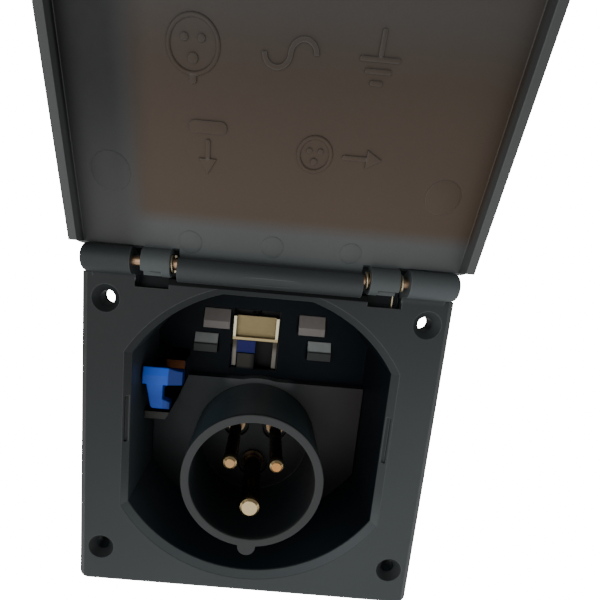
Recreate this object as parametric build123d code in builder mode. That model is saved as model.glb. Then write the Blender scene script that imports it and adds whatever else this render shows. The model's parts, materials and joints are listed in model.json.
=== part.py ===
"""Flush-mounted three-pin mains inlet with a hinged lid, in millimetres.

+Z is up, -Y faces the user and +Y runs into the wall. The origin is the centre of the four flange screws, on
the face that meets the wall. The lid is modelled open, as it stands when nothing holds it shut.
"""

import os
from math import cos, radians, sin, sqrt

from build123d import *

# Flange and its gasket
SCREW_X = 104.0             # flange screw spacing across
SCREW_Z = 90.0              # flange screw spacing up
SCREW_SIDE = 8.0            # screws from the flange's side edges
SCREW_ABOVE = 8.0           # upper screws from its top edge
SCREW_BELOW = 14.5          # lower screws from its lower edge
FLANGE_T = 7.0              # thickness
FLANGE_BEVEL = 2.0          # bevel round the front edge
FLANGE_CORNER = 3.0         # radius of the two lower corners
SCREW_HOLE_R = 2.4          # flange screw hole
SCREW_SINK_R = 4.6          # its countersink
GASKET_T = 2.0              # gasket thickness
GASKET_INSET = 2.0          # gasket edge inside the flange edge

# Recess
BORDER_SIDE = 16.6          # flange beside the opening's side flats
BORDER_ABOVE = 3.8          # flange above its top flat
BORDER_BELOW = 8.2          # flange below its round part
RIM_CHAMFER = 2.2           # chamfer round the mouth
WALL = 2.2                  # recess wall
SLIT_L = 16.5               # slit in the chamfer at each side flat, length
SLIT_W = 1.2                # its width
SLIT_DEPTH = 2.0            # its depth below the flange face
SLIT_Z = 4.0                # its middle above the origin
WEB_T = 2.5                 # rear wall of the recess
CHAMBER_DEPTH = 18.7        # wiring chamber behind the rear wall

# Connector insert
COLLAR_Z = -15.8            # collar centre below the origin
COLLAR_BORE_R = 22.15       # inside of the collar
COLLAR_WALL = 3.05          # collar wall
COLLAR_SETBACK = 1.0        # mouth behind the flange face
COLLAR_L = 36.8             # mouth to the plate
COLLAR_EDGE = 0.4           # rounding of the mouth
NOSE_R = 3.3                # key nose at the bottom of the collar
NOSE_OUT = 3.5              # nose out of the collar
PLATE_T = 5.0               # insert plate
PLATE_TOP = 10.5            # its upper edge
ARCH_RIM = 2.0              # arch in that edge, wider than the collar
NOTCH_W = 13.9              # notch for the lever, width at its top
NOTCH_FOOT_W = 9.75         # its width at its floor
NOTCH_FLOOR = -0.2          # floor of the notch
LEDGE_T = 2.9               # ledge in front of that floor, thickness
LEDGE_L = 16.8              # its length
LEDGE_SLANT = 1.5           # slant of its free end

# Contact pins, placed from the collar centre
PHASE_X = 8.17              # live pins to each side
PHASE_Z = 6.34              # live pins above the centre
PHASE_R = 2.4               # live pin
EARTH_Z = -10.24            # earth pin below the centre
EARTH_R = 3.5               # earth pin
PIN_SETBACK = 0.5           # pin tips behind the collar mouth
PIN_TIP = 0.8               # chamfer of the tips
SHOULDER_RIM = 1.35         # shoulder wider than the pin
ROOT_RIM = 1.55             # sunk ring round the shoulder
ROOT_DEPTH = 2.5            # depth of that ring
SHOULDER_SETBACK = 1.2      # shoulder behind the plate's face
BARREL_RIM = 1.8            # wire barrel wider than the pin
WIRE_R = 2.2                # wire hole in the barrel
WIRE_DEPTH = 10.0           # its depth

# Terminal block and its fasteners
BLOCK_RIM = 0.8             # terminal block wider than the collar
BLOCK_L = 13.2              # its length behind the plate
BLOCK_GAP = 0.4             # to the hole in the rear wall
BLOCK_SCREW_X = 15.0        # block screws to each side of the collar centre
BLOCK_SCREW_Z = -7.0        # block screws below it
LOW_SCREW_INSET = 9.4       # lower insert screws from the side flats
LOW_SCREW_DROP = 8.2        # lower insert screws below the collar centre
HIGH_SCREW_INSET = 12.4     # upper right insert screw from the side flat
HIGH_SCREW_DROP = 6.0       # upper insert screws below the plate's edge
NOTCH_SCREW_INSET = 5.5     # upper left insert screw from the notch
SHANK_R = 1.2               # self-tapping screw shank
SCREW_HEAD_R = 2.8          # its head
SCREW_HEAD_H = 2.0          # head height
SCREW_BITE = 3.4            # length held in the insert plate
TERMINAL_R = 1.6            # clamp screw
TERMINAL_HEAD_R = 2.6       # its head
TERMINAL_HEAD_H = 2.5       # head height
TERMINAL_STANDOFF = 2.8     # head above the barrel
DRIVE_W = 0.8               # screwdriver slot
DRIVE_DEPTH = 1.0           # its depth

# Hinge
HINGE_OUT = 4.0             # axis in front of the flange face
HINGE_UP = 5.0              # axis above the flange's top edge
BARREL_R = 4.35             # outside of barrels and knuckles
BARREL_INSET = 2.2          # end barrels from the flange's side edges
BARREL_L = 15.4             # end barrels
BARREL_ROUND = 1.6          # rounding of their outer ends
FOOT_FILLET = 2.2           # hollow fillet between barrel foot and flange
KNUCKLE_GAP = 3.2           # end barrels to the lid's knuckles
KNUCKLE_W = 8.8             # knuckles
BAR_GAP = 2.1               # knuckles to the lid's hinge bar
BAR_R = 3.8                 # outside of that bar
BAR_BEHIND = 1.6            # its middle from the axis, away from the lid
BAR_INSIDE = 0.6            # its middle from the axis, to the lid's inside
GROOVE_DEPTH = 0.4          # shallow groove along the front of the bar
GROOVE_W = 2.2              # its width
GROOVE_HALF = 10.2          # half its length
HINGE_PIN_R = 1.5           # hinge pin
PIN_COVER = 2.0             # closed end of the right barrel
KNUCKLE_CUT = 3.5           # clearance cut in the flange under each knuckle
KNUCKLE_CUT_INSET = 1.5     # its inner side from the knuckle's inner end
KNUCKLE_CUT_OVER = 0.4      # its outer side under the end barrel
HINGE_BACK_T = 2.0          # wall behind the hinge
HINGE_BACK_UP = 5.0         # its upper edge above the axis
HINGE_BACK_OVER = 4.5       # its ends behind the end barrels

# Lid springs
COIL_R = 2.3                # mean radius of the coil
COIL_WIRE_R = 0.4           # wire
COIL_PITCH = 1.2            # distance between turns
COIL_GAP = 0.35             # coil to its chamber in the knuckle
KNUCKLE_WALL = 2.0          # outer wall of the left knuckle, which runs on the pin
WINDOW_W = 6.2              # window in each knuckle, from its outer end
WINDOW_TOP = 1.2            # its upper side below the axis
WINDOW_BACK = 0.8           # its rear side in front of the axis

# Lid
LID_OPEN = 158.7            # angle from shut to open
LID_START = 4.3             # hinge axis to the inside edge of the lid's floor
LID_TOE = 2.5               # hinge axis to its outside edge
LID_BACK = 4.0              # hinge axis to the lid's outer face
LID_FLOOR = 2.2             # lid floor
LID_RIM = 2.5               # lid rim
LID_GAP = 0.3               # rim to the flange when shut
LID_EDGE = 1.6              # rounding of the outer face
LID_HEEL = 2.2              # slant of the side rims' ends beside the hinge
LID_CORNER = 3.0            # corner radius

# Latch
LATCH_X = -3.3              # middle of the latch
LATCH_HALF = 9.4            # half its width
LATCH_T = 1.2               # sheet
LATCH_BOTTOM = 26.1         # lower edge of its bar
LATCH_H = 9.9               # height of its bar
LATCH_LEG_W = 1.8           # legs
LATCH_LEG_L = 12.0          # legs below the bar
LATCH_LIFT = 2.5            # travel
TAB_HALF = 3.0              # half width of the spring tab
LATCH_COIL_R = 1.7          # latch spring, mean radius
LATCH_WIRE_R = 0.25         # its wire
LATCH_COIL_PITCH = 1.6      # its pitch

# Latch carrier and its hooks
CARRIER_SIDE = 2.6          # to the cover screw bosses at each side
CARRIER_DROP = 6.0          # lower edge below the lever's pivot
CARRIER_HEADROOM = 3.2      # upper edge below the recess's top flat
CARRIER_WALL = 2.5          # its walls
CARRIER_ROOM = 6.9          # depth inside
CARRIER_INSET = 1.0         # to the recess wall
UPPER_HOOK_X = 19.45        # middle of the upper hooks
UPPER_HOOK_W = 10.7         # their width
UPPER_HOOK_Z = 30.7         # their lower side
UPPER_HOOK_H = 7.9          # their height
LOWER_HOOK_X = 23.45        # middle of the lower hooks
LOWER_HOOK_W = 9.5          # their width
LOWER_HOOK_Z = 20.6         # their lower side
LOWER_HOOK_H = 7.4          # their height
HOOK_STEM = 2.5             # stem thickness
HOOK_CATCH = 1.0            # overlap on the rear wall
HOOK_NOSE = 3.0             # length of the head
GUIDE_W = 1.5               # guide ribs beside the latch

# Release lever
PIVOT_X = -11.5             # pivot left of the latch middle
PIVOT_Z = 19.0              # pivot height
PIVOT_R = 1.5               # pivot pin
PIVOT_SEAT = 1.7            # pin's depth in the rear wall
HUB_R = 3.2                 # lever hub
ARM_DROP = 8.0              # arm's lower side below the pivot
ARM_H = 5.5                 # arm height
ARM_T = 4.6                 # arm thickness
NOSE_LEFT = 5.6             # lever nose, left side from the latch middle
NOSE_W = 5.8                # its width
NOSE_H = 5.0                # its height
NOSE_OVER = 1.8             # its face reaches further left, in front of the latch's leg
HANDLE_SIDE_GAP = 0.8       # handle to the recess flat
HANDLE_W = 9.0              # handle block
HANDLE_RISE = 4.0           # its lower side above the neck's
HANDLE_H = 6.4              # its height
HANDLE_BEVEL = 3.0          # height of the leaning upper half of its front
HANDLE_LEAN = 1.0           # lean of that half
HANDLE_FALL = 1.6           # fall of its top to the rear
HANDLE_EDGE = 0.35          # rounding of the handle's and the leg's edges
HANDLE_DEPTH = 6.6          # its depth
HANDLE_SETBACK = 13.2       # its face behind the flange face
CHEEK = 5.4                 # slanted cheek beside the handle
CHEEK_BACK = 1.5            # its end behind the handle's face
CHEEK_FALL = 1.3            # fall of its top
GRIP_W = 6.2                # leg below the handle, at its top
GRIP_FOOT_W = 4.3           # leg at its foot
GRIP_L = 9.0                # its length
GRIP_T = 4.0                # its thickness
GRIP_TOE = 2.8              # toe at its foot
GRIP_HEEL_R = 1.5           # rounding of its other lower corner
GRIP_TOE_R = 1.1            # rounding of the toe's upper corner
GRIP_TOE_H = 2.8            # toe height
GRIP_FLARE = 1.0            # rise of the toe's upper side towards the leg
NECK_INSET = 2.1            # neck from the handle's left side
NECK_W = 4.6                # neck width
NECK_DROP = 2.0             # neck's lower side below the arm's
NECK_H = 5.8                # neck height
SLOT_DROP = 14.0            # slot in the rear wall below the neck
SLOT_ROOM = 4.4             # slot to the right of the neck

# Leaf spring above the lever's neck
LEAF_T = 0.5                # sheet
LEAF_W = 7.4                # width
LEAF_REACH = 5.9            # right side past the neck
LEAF_FOOT = 2.5             # height of the foot on the rear wall
LEAF_RUN = 12.8             # forward reach
LEAF_LIP = 2.8              # lip that bears on the neck

# Rear cover and cable gland
COVER_T = 2.5               # cover plate
SEAL_T = 1.0                # cover seal
DOME_R = 19.0               # dome round the gland
DOME_H = 6.0                # its height
DOME_WALL = 2.5             # its wall
BOSS_R = 3.5                # cover screw bosses
BOSS_SIDE = 6.3             # boss centres from the side flats
BOSS_INSET = 2.9            # boss centres from the round part
COVER_SCREW_L = 12.0        # cover screws below the plate
GLAND_R = 10.0              # gland thread
GLAND_STUB = 8.0            # thread through the dome
GLAND_HEX = 24.0            # across flats of body and nut
GLAND_COLLAR = 5.0          # hexagon of the body
GLAND_NECK_R = 9.2          # neck behind the hexagon
GLAND_NECK_L = 9.0          # its length
GLAND_BORE_R = 6.6          # bore through the body
GLAND_NUT_L = 14.0          # nut
GLAND_MOUTH_R = 6.3         # its mouth
GLAND_MOUTH_WALL = 3.0      # its end wall
CABLE_R = 5.5               # bore of the seal
LOCKNUT_T = 4.0             # lock nut inside the dome
LOCKNUT_HEX = 25.0          # across flats

# Clearances
FIT_GAP = 0.3               # between pieces that are pushed together
SLIP_GAP = 0.3              # between pieces that slide past each other
RUN_GAP = 0.05              # running fit on a pin
SEAT_GAP = 0.02             # pin held in its seat
CLEAR_GAP = 0.5             # screw hole over its shank

# Outlines
FLANGE_W = SCREW_X + 2 * SCREW_SIDE
FLANGE_TOP = SCREW_Z / 2 + SCREW_ABOVE
FLANGE_BOTTOM = SCREW_Z / 2 + SCREW_BELOW
RECESS_R = FLANGE_BOTTOM - BORDER_BELOW
RECESS_FLAT = FLANGE_W / 2 - BORDER_SIDE
RECESS_TOP = FLANGE_TOP - BORDER_ABOVE
COLLAR_R = COLLAR_BORE_R + COLLAR_WALL
ARCH_R = COLLAR_R + ARCH_RIM
BLOCK_R = COLLAR_R + BLOCK_RIM

# Depths, from the wall face to the front and to the rear
FLANGE_REAR = -GASKET_T
FRONT = FLANGE_REAR - FLANGE_T
COLLAR_MOUTH = FRONT + COLLAR_SETBACK
PLATE_FRONT = COLLAR_MOUTH + COLLAR_L
WEB_FRONT = PLATE_FRONT + PLATE_T
WEB_REAR = WEB_FRONT + WEB_T
HOUSING_REAR = WEB_REAR + CHAMBER_DEPTH
COVER_FRONT = HOUSING_REAR + SEAL_T
COVER_REAR = COVER_FRONT + COVER_T
DOME_REAR = COVER_REAR + DOME_H
BLOCK_REAR = WEB_FRONT + BLOCK_L
CARRIER_REAR = WEB_REAR + CARRIER_ROOM + CARRIER_WALL
CARRIER_INNER = WEB_REAR + CARRIER_ROOM
LATCH_FRONT = WEB_REAR + SLIP_GAP
LATCH_REAR = LATCH_FRONT + LATCH_T
ARM_REAR = CARRIER_INNER - SLIP_GAP
PIN_TIP_Y = COLLAR_MOUTH + PIN_SETBACK
SHOULDER_Y = PLATE_FRONT + SHOULDER_SETBACK

# Places that follow from the sizes above
HINGE_Y = FRONT - HINGE_OUT
HINGE_Z = FLANGE_TOP + HINGE_UP
BARREL_OUT = FLANGE_W / 2 - BARREL_INSET
BARREL_IN = BARREL_OUT - BARREL_L
KNUCKLE_OUT = BARREL_IN - KNUCKLE_GAP
KNUCKLE_IN = KNUCKLE_OUT - KNUCKLE_W
BAR_HALF = KNUCKLE_IN - BAR_GAP
KNUCKLE_CUT_IN = KNUCKLE_IN + KNUCKLE_CUT_INSET
KNUCKLE_CUT_OUT = BARREL_IN + KNUCKLE_CUT_OVER
GROOVE_R = (GROOVE_HALF**2 + GROOVE_DEPTH**2) / (2 * GROOVE_DEPTH)
LID_END = HINGE_Z + FLANGE_BOTTOM
LID_FRONT = HINGE_OUT - LID_GAP
COIL_CHAMBER_R = COIL_R + COIL_WIRE_R + COIL_GAP
COIL_START = KNUCKLE_IN - BAR_GAP / 2
LEFT_COIL_END = KNUCKLE_OUT - KNUCKLE_WALL - COIL_WIRE_R - SLIP_GAP
RIGHT_COIL_END = KNUCKLE_OUT + KNUCKLE_GAP / 2
HINGE_BACK_FRONT = FLANGE_REAR - HINGE_BACK_T
HINGE_BACK_END = BARREL_IN + HINGE_BACK_OVER
COIL_LEG_Y = HINGE_BACK_FRONT - COIL_WIRE_R - SEAT_GAP
LID_INSIDE = LID_FLOOR - LID_BACK
LATCH_LEFT = LATCH_X - LATCH_HALF
LATCH_RIGHT = LATCH_X + LATCH_HALF
LATCH_TOP = LATCH_BOTTOM + LATCH_H
LATCH_LEG_FOOT = LATCH_BOTTOM - LATCH_LEG_L
LATCH_COIL_Y = (LATCH_REAR + CARRIER_INNER) / 2
BOSS_X = RECESS_FLAT - BOSS_SIDE
BOSS_Z = sqrt((RECESS_R - BOSS_INSET) ** 2 - BOSS_X**2)
CARRIER_HALF = BOSS_X - BOSS_R - CARRIER_SIDE
CARRIER_BOTTOM = PIVOT_Z - CARRIER_DROP
CARRIER_TOP = RECESS_TOP - CARRIER_HEADROOM
CARRIER_LID = CARRIER_TOP - CARRIER_WALL
PIVOT = (LATCH_X + PIVOT_X, PIVOT_Z)
NOSE_X = LATCH_X - NOSE_LEFT
NOSE_TOP = LATCH_BOTTOM - SLIP_GAP
ARM_BOTTOM = PIVOT_Z - ARM_DROP
NECK_BOTTOM = ARM_BOTTOM - NECK_DROP
HANDLE_X = HANDLE_SIDE_GAP - RECESS_FLAT
HANDLE_BOTTOM = NECK_BOTTOM + HANDLE_RISE
HANDLE_TOP = HANDLE_BOTTOM + HANDLE_H
HANDLE_FRONT = FRONT + HANDLE_SETBACK
HANDLE_REAR = HANDLE_FRONT + HANDLE_DEPTH
HANDLE_RIGHT = HANDLE_X + HANDLE_W
NECK_X = HANDLE_X + NECK_INSET
NECK_RIGHT = NECK_X + NECK_W
NECK_TOP = NECK_BOTTOM + NECK_H
NOTCH_TOP_X = NOTCH_W - RECESS_FLAT
NOTCH_FOOT_X = NOTCH_FOOT_W - RECESS_FLAT
LEAF_RIGHT = NECK_RIGHT + LEAF_REACH
LEAF_LEFT = LEAF_RIGHT - LEAF_W
LEAF_LIP_Z = NECK_TOP + SLIP_GAP
LEAF_RUN_Z = LEAF_LIP_Z + LEAF_LIP
GLAND_HEX_REAR = DOME_REAR + GLAND_COLLAR
GLAND_NECK_REAR = GLAND_HEX_REAR + GLAND_NECK_L
GLAND_NUT_FRONT = GLAND_HEX_REAR + FIT_GAP
GLAND_NUT_REAR = GLAND_NUT_FRONT + GLAND_NUT_L
DOME_END = DOME_REAR - DOME_WALL
BOSSES = [(side * BOSS_X, end * BOSS_Z) for side in (-1, 1) for end in (-1, 1)]
INSERT_SCREWS = [
    (RECESS_FLAT - LOW_SCREW_INSET, COLLAR_Z - LOW_SCREW_DROP),
    (LOW_SCREW_INSET - RECESS_FLAT, COLLAR_Z - LOW_SCREW_DROP),
    (RECESS_FLAT - HIGH_SCREW_INSET, PLATE_TOP - HIGH_SCREW_DROP),
    (NOTCH_TOP_X + NOTCH_SCREW_INSET, PLATE_TOP - HIGH_SCREW_DROP),
]
BLOCK_SCREWS = [(side * BLOCK_SCREW_X, COLLAR_Z + BLOCK_SCREW_Z) for side in (-1, 1)]
PINS = [
    ("phase_pin_left", -PHASE_X, COLLAR_Z + PHASE_Z, PHASE_R, 1),
    ("phase_pin_right", PHASE_X, COLLAR_Z + PHASE_Z, PHASE_R, 1),
    ("earth_pin", 0.0, COLLAR_Z + EARTH_Z, EARTH_R, -1),
]
HOOKS = [
    (side * x, z, width, height)
    for side in (-1, 1)
    for x, z, width, height in (
        (UPPER_HOOK_X, UPPER_HOOK_Z, UPPER_HOOK_W, UPPER_HOOK_H),
        (LOWER_HOOK_X, LOWER_HOOK_Z, LOWER_HOOK_W, LOWER_HOOK_H),
    )
]
TERMINAL_Y = BLOCK_REAR - WIRE_DEPTH / 2


def facing(depth):
    """Plane parallel to the wall: local x is X, local y is Z, and extrusion runs to the front."""
    return Plane.XZ.offset(-depth)


def across(x):
    """Plane square to the hinge: local x is Y, local y is Z, and extrusion runs to the right."""
    return Plane.YZ.offset(x)


def level(z):
    """Horizontal plane: local x is X, local y is Y, and extrusion runs up."""
    return Plane.XY.offset(z)


def lid_section(x):
    """Plane square to the hinge in the lid's directions: local x runs along the lid, y out of its inside."""
    along = (0, -sin(radians(LID_OPEN)), -cos(radians(LID_OPEN)))
    return Plane(origin=(x, HINGE_Y, HINGE_Z), x_dir=along, z_dir=(1, 0, 0))


def lid_layer(height):
    """Plane parallel to the open lid: local x is X, local y runs along the lid, height out of its inside."""
    inward = (0, cos(radians(LID_OPEN)), -sin(radians(LID_OPEN)))
    return Plane(origin=(0, HINGE_Y, HINGE_Z), x_dir=(1, 0, 0), z_dir=inward).offset(height)


def recess_outline(grow=0.0):
    """The opening's outline in the current sketch, larger all round by grow."""
    Circle(RECESS_R + grow)
    with Locations((0, (RECESS_TOP - RECESS_R) / 2)):
        Rectangle(
            2 * (RECESS_FLAT + grow), RECESS_TOP + RECESS_R + 2 * grow, mode=Mode.INTERSECT
        )


def span(x0, x1, z0, z1, mode=Mode.ADD):
    """A rectangle in the current sketch between two corners."""
    with Locations(((x0 + x1) / 2, (z0 + z1) / 2)):
        Rectangle(x1 - x0, z1 - z0, mode=mode)


def bar(x0, x1, z0, z1, rear, front, mode=Mode.ADD):
    """A rectangular bar between two depths, added to the current piece or cut from it."""
    with BuildSketch(facing(rear)) as profile:
        span(x0, x1, z0, z1)
    extrude(profile.sketch, amount=rear - front, mode=mode)


def rod(x, z, radius, rear, front, mode=Mode.ADD):
    """A round bar along Y between two depths, added to the current piece or cut from it."""
    with BuildSketch(facing(rear)) as profile:
        with Locations((x, z)):
            Circle(radius)
    extrude(profile.sketch, amount=rear - front, mode=mode)


def post(x, y, radius, foot, top, mode=Mode.ADD):
    """A round bar along Z between two heights, added to the current piece or cut from it."""
    with BuildSketch(level(foot)) as profile:
        with Locations((x, y)):
            Circle(radius)
    extrude(profile.sketch, amount=top - foot, mode=mode)


def rear_screw(x, z, seat, tip):
    """A screw put in from the rear: head behind seat, shank from there forward to tip."""
    rod(x, z, SHANK_R, seat, tip)
    rod(x, z, SCREW_HEAD_R, seat + SCREW_HEAD_H, seat)
    head_rear = seat + SCREW_HEAD_H
    bar(x - SCREW_HEAD_R, x + SCREW_HEAD_R, z - DRIVE_W / 2, z + DRIVE_W / 2,
        head_rear, head_rear - DRIVE_DEPTH, mode=Mode.SUBTRACT)


def save(piece, name):
    """Name the finished piece and write it."""
    piece.part.label = name
    export_step(piece.part, f"parts/{name}.step")


os.makedirs("parts", exist_ok=True)

# Housing: flange, recess wall, rear wall and the end barrels of the hinge
with BuildPart() as housing:
    with BuildSketch(facing(FLANGE_REAR)) as flange_sketch:
        span(-FLANGE_W / 2, FLANGE_W / 2, -FLANGE_BOTTOM, FLANGE_TOP)
        fillet(flange_sketch.vertices().group_by(Axis.Y)[0], FLANGE_CORNER)
    extrude(amount=FLANGE_T)
    flange_face = housing.faces().sort_by(Axis.Y)[0]
    outer_edges = flange_face.edges().filter_by(lambda edge: edge.center().Z < FLANGE_TOP - FLANGE_BEVEL)
    chamfer(outer_edges, FLANGE_BEVEL)
    with BuildSketch(facing(HOUSING_REAR)):
        recess_outline(WALL)
    extrude(amount=HOUSING_REAR - FLANGE_REAR)
    with BuildSketch(facing(HOUSING_REAR)):
        recess_outline()
    extrude(amount=HOUSING_REAR - FRONT, mode=Mode.SUBTRACT)
    with BuildSketch(facing(FRONT + RIM_CHAMFER)):
        recess_outline()
    with BuildSketch(facing(FRONT)):
        recess_outline(RIM_CHAMFER)
    loft(ruled=True, mode=Mode.SUBTRACT)
    with BuildSketch(facing(FRONT + SLIT_DEPTH)):
        for side in (-1, 1):
            with Locations((side * (RECESS_FLAT + RIM_CHAMFER / 2), SLIT_Z)):
                Rectangle(SLIT_W, SLIT_L)
    extrude(amount=SLIT_DEPTH, mode=Mode.SUBTRACT)
    # Rear wall with its openings
    with BuildSketch(facing(WEB_REAR)):
        recess_outline(WALL / 2)
        with Locations((0, COLLAR_Z)):
            Circle(BLOCK_R + BLOCK_GAP, mode=Mode.SUBTRACT)
        span(LATCH_LEFT - 2 * SLIP_GAP, LATCH_RIGHT + 2 * SLIP_GAP,
             LATCH_LEG_FOOT - CLEAR_GAP, LATCH_TOP + LATCH_LIFT + CLEAR_GAP, mode=Mode.SUBTRACT)
        span(LATCH_LEFT + LATCH_LEG_W + 2 * SLIP_GAP, NOSE_X + NOSE_W,
             LATCH_LEG_FOOT - CLEAR_GAP, NOSE_TOP - NOSE_H - CLEAR_GAP)
        span(-RECESS_FLAT, NECK_RIGHT + SLOT_ROOM,
             NECK_BOTTOM - SLOT_DROP, NECK_TOP + FIT_GAP, mode=Mode.SUBTRACT)
        for x, z, width, height in HOOKS:
            span(x - width / 2 - FIT_GAP, x + width / 2 + FIT_GAP,
                 z - FIT_GAP, z + height - HOOK_CATCH, mode=Mode.SUBTRACT)
        with Locations(*INSERT_SCREWS):
            Circle(SHANK_R + CLEAR_GAP, mode=Mode.SUBTRACT)
    extrude(amount=WEB_T)
    rod(*PIVOT, PIVOT_R + SEAT_GAP, WEB_REAR, WEB_REAR - PIVOT_SEAT, mode=Mode.SUBTRACT)
    # Cover screw bosses
    for x, z in BOSSES:
        rod(x, z, BOSS_R, HOUSING_REAR, WEB_REAR)
        rod(x, z, SHANK_R + SEAT_GAP, HOUSING_REAR, HOUSING_REAR - COVER_SCREW_L, mode=Mode.SUBTRACT)
    # End barrels, rounded at their outer ends, with feet on the flange
    for start in (-BARREL_OUT, BARREL_IN):
        with BuildSketch(across(start)):
            with Locations((HINGE_Y, HINGE_Z)):
                Circle(BARREL_R)
        extrude(amount=BARREL_OUT - BARREL_IN)
    barrel_ends = housing.faces().filter_by(Axis.X).filter_by(lambda face: face.center().Z > FLANGE_TOP)
    for end_face in (barrel_ends.sort_by(Axis.X)[0], barrel_ends.sort_by(Axis.X)[-1]):
        fillet(end_face.edges(), BARREL_ROUND)
    for start in (BARREL_ROUND - BARREL_OUT, BARREL_IN):
        with BuildSketch(across(start)) as foot_sketch:
            with BuildLine():
                Polyline(
                    (HINGE_Y, HINGE_Z - BARREL_R),
                    (FRONT, HINGE_Z - BARREL_R),
                    (FRONT, FLANGE_TOP - FLANGE_T),
                    (FLANGE_REAR, FLANGE_TOP - FLANGE_T),
                    (FLANGE_REAR, HINGE_Z),
                    (HINGE_Y, HINGE_Z + BARREL_R),
                    close=True,
                )
            make_face()
            inner_corner = (FRONT, HINGE_Z - BARREL_R)
            fillet(foot_sketch.vertices().sort_by_distance(inner_corner)[0], FOOT_FILLET)
        extrude(amount=BARREL_OUT - BARREL_ROUND - BARREL_IN)
    with BuildSketch(across(-BARREL_OUT)):
        with Locations((HINGE_Y, HINGE_Z)):
            Circle(HINGE_PIN_R + SEAT_GAP)
    extrude(amount=2 * BARREL_OUT - PIN_COVER, mode=Mode.SUBTRACT)
    # Wall behind the hinge, which the lid springs push on, and clearance under the lid's knuckles
    bar(-HINGE_BACK_END, HINGE_BACK_END, RECESS_TOP + WALL, HINGE_Z + HINGE_BACK_UP,
        FLANGE_REAR, HINGE_BACK_FRONT)
    with BuildSketch(facing(HINGE_BACK_FRONT)):
        for side in (-1, 1):
            with Locations((side * (KNUCKLE_CUT_IN + KNUCKLE_CUT_OUT) / 2, FLANGE_TOP - KNUCKLE_CUT / 2)):
                Rectangle(KNUCKLE_CUT_OUT - KNUCKLE_CUT_IN, KNUCKLE_CUT)
    extrude(amount=HINGE_BACK_FRONT - FRONT, mode=Mode.SUBTRACT)
    with Locations(facing(FRONT)):
        with GridLocations(SCREW_X, SCREW_Z, 2, 2):
            CounterSinkHole(SCREW_HOLE_R, SCREW_SINK_R, depth=FLANGE_T)
save(housing, "housing")

# Gasket between the flange and the wall
with BuildPart() as flange_gasket:
    with BuildSketch(facing(0)):
        span(-FLANGE_W / 2 + GASKET_INSET, FLANGE_W / 2 - GASKET_INSET,
             -FLANGE_BOTTOM + GASKET_INSET, FLANGE_TOP)
    extrude(amount=GASKET_T)
    with BuildSketch(facing(0)):
        recess_outline(WALL + FIT_GAP)
    extrude(amount=GASKET_T, mode=Mode.SUBTRACT)
    with BuildSketch(facing(0)):
        with GridLocations(SCREW_X, SCREW_Z, 2, 2):
            Circle(SCREW_HOLE_R)
    extrude(amount=GASKET_T, mode=Mode.SUBTRACT)
save(flange_gasket, "flange_gasket")

# Insert: plate, collar and key nose
with BuildPart() as connector_insert:
    with BuildSketch(facing(WEB_FRONT)):
        recess_outline(-FIT_GAP)
        span(-RECESS_R, RECESS_R, -RECESS_R, PLATE_TOP, mode=Mode.INTERSECT)
        with Locations((0, COLLAR_Z)):
            Circle(ARCH_R)
        with BuildLine():
            Polyline(
                (NOTCH_TOP_X, PLATE_TOP),
                (NOTCH_FOOT_X, NOTCH_FLOOR),
                (-RECESS_FLAT, NOTCH_FLOOR),
                (-RECESS_FLAT, PLATE_TOP),
                close=True,
            )
        make_face(mode=Mode.SUBTRACT)
    extrude(amount=PLATE_T)
    with BuildSketch(facing(PLATE_FRONT)):
        with BuildLine():
            Polyline(
                (FIT_GAP - RECESS_FLAT, NOTCH_FLOOR),
                (NOTCH_FOOT_X, NOTCH_FLOOR),
                (NOTCH_FOOT_X - LEDGE_SLANT, NOTCH_FLOOR - LEDGE_T),
                (FIT_GAP - RECESS_FLAT, NOTCH_FLOOR - LEDGE_T),
                close=True,
            )
        make_face()
    extrude(amount=LEDGE_L)
    with BuildSketch(facing(PLATE_FRONT)):
        with Locations((0, COLLAR_Z)):
            Circle(COLLAR_R)
        with Locations((0, COLLAR_Z - COLLAR_R - NOSE_OUT + NOSE_R)):
            Circle(NOSE_R)
        with Locations((0, COLLAR_Z)):
            Circle(COLLAR_BORE_R, mode=Mode.SUBTRACT)
    extrude(amount=COLLAR_L)
    mouth = connector_insert.faces().sort_by(Axis.Y)[0]
    fillet(mouth.edges(), COLLAR_EDGE)
    for name, x, z, radius, outward in PINS:
        rod(x, z, radius + SHOULDER_RIM + ROOT_RIM,
            PLATE_FRONT + ROOT_DEPTH, PLATE_FRONT, mode=Mode.SUBTRACT)
        rod(x, z, radius + SHOULDER_RIM + SEAT_GAP, WEB_FRONT, PLATE_FRONT, mode=Mode.SUBTRACT)
    for x, z in INSERT_SCREWS + BLOCK_SCREWS:
        rod(x, z, SHANK_R + SEAT_GAP, WEB_FRONT, WEB_FRONT - SCREW_BITE, mode=Mode.SUBTRACT)
save(connector_insert, "connector_insert")

# Contact pins: chamfered tip, shoulder in the plate and a wire barrel behind it
for name, x, z, radius, outward in PINS:
    with BuildPart() as contact_pin:
        rod(x, z, radius, SHOULDER_Y, PIN_TIP_Y)
        chamfer(contact_pin.faces().sort_by(Axis.Y)[0].edges(), PIN_TIP)
        rod(x, z, radius + SHOULDER_RIM, WEB_FRONT, SHOULDER_Y)
        rod(x, z, radius + BARREL_RIM, BLOCK_REAR, WEB_FRONT)
        rod(x, z, WIRE_R, BLOCK_REAR, BLOCK_REAR - WIRE_DEPTH, mode=Mode.SUBTRACT)
        barrel_side = z + outward * (radius + BARREL_RIM)
        post(x, TERMINAL_Y, TERMINAL_R + SEAT_GAP,
             min(z, barrel_side), max(z, barrel_side), mode=Mode.SUBTRACT)
    save(contact_pin, name)

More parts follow.
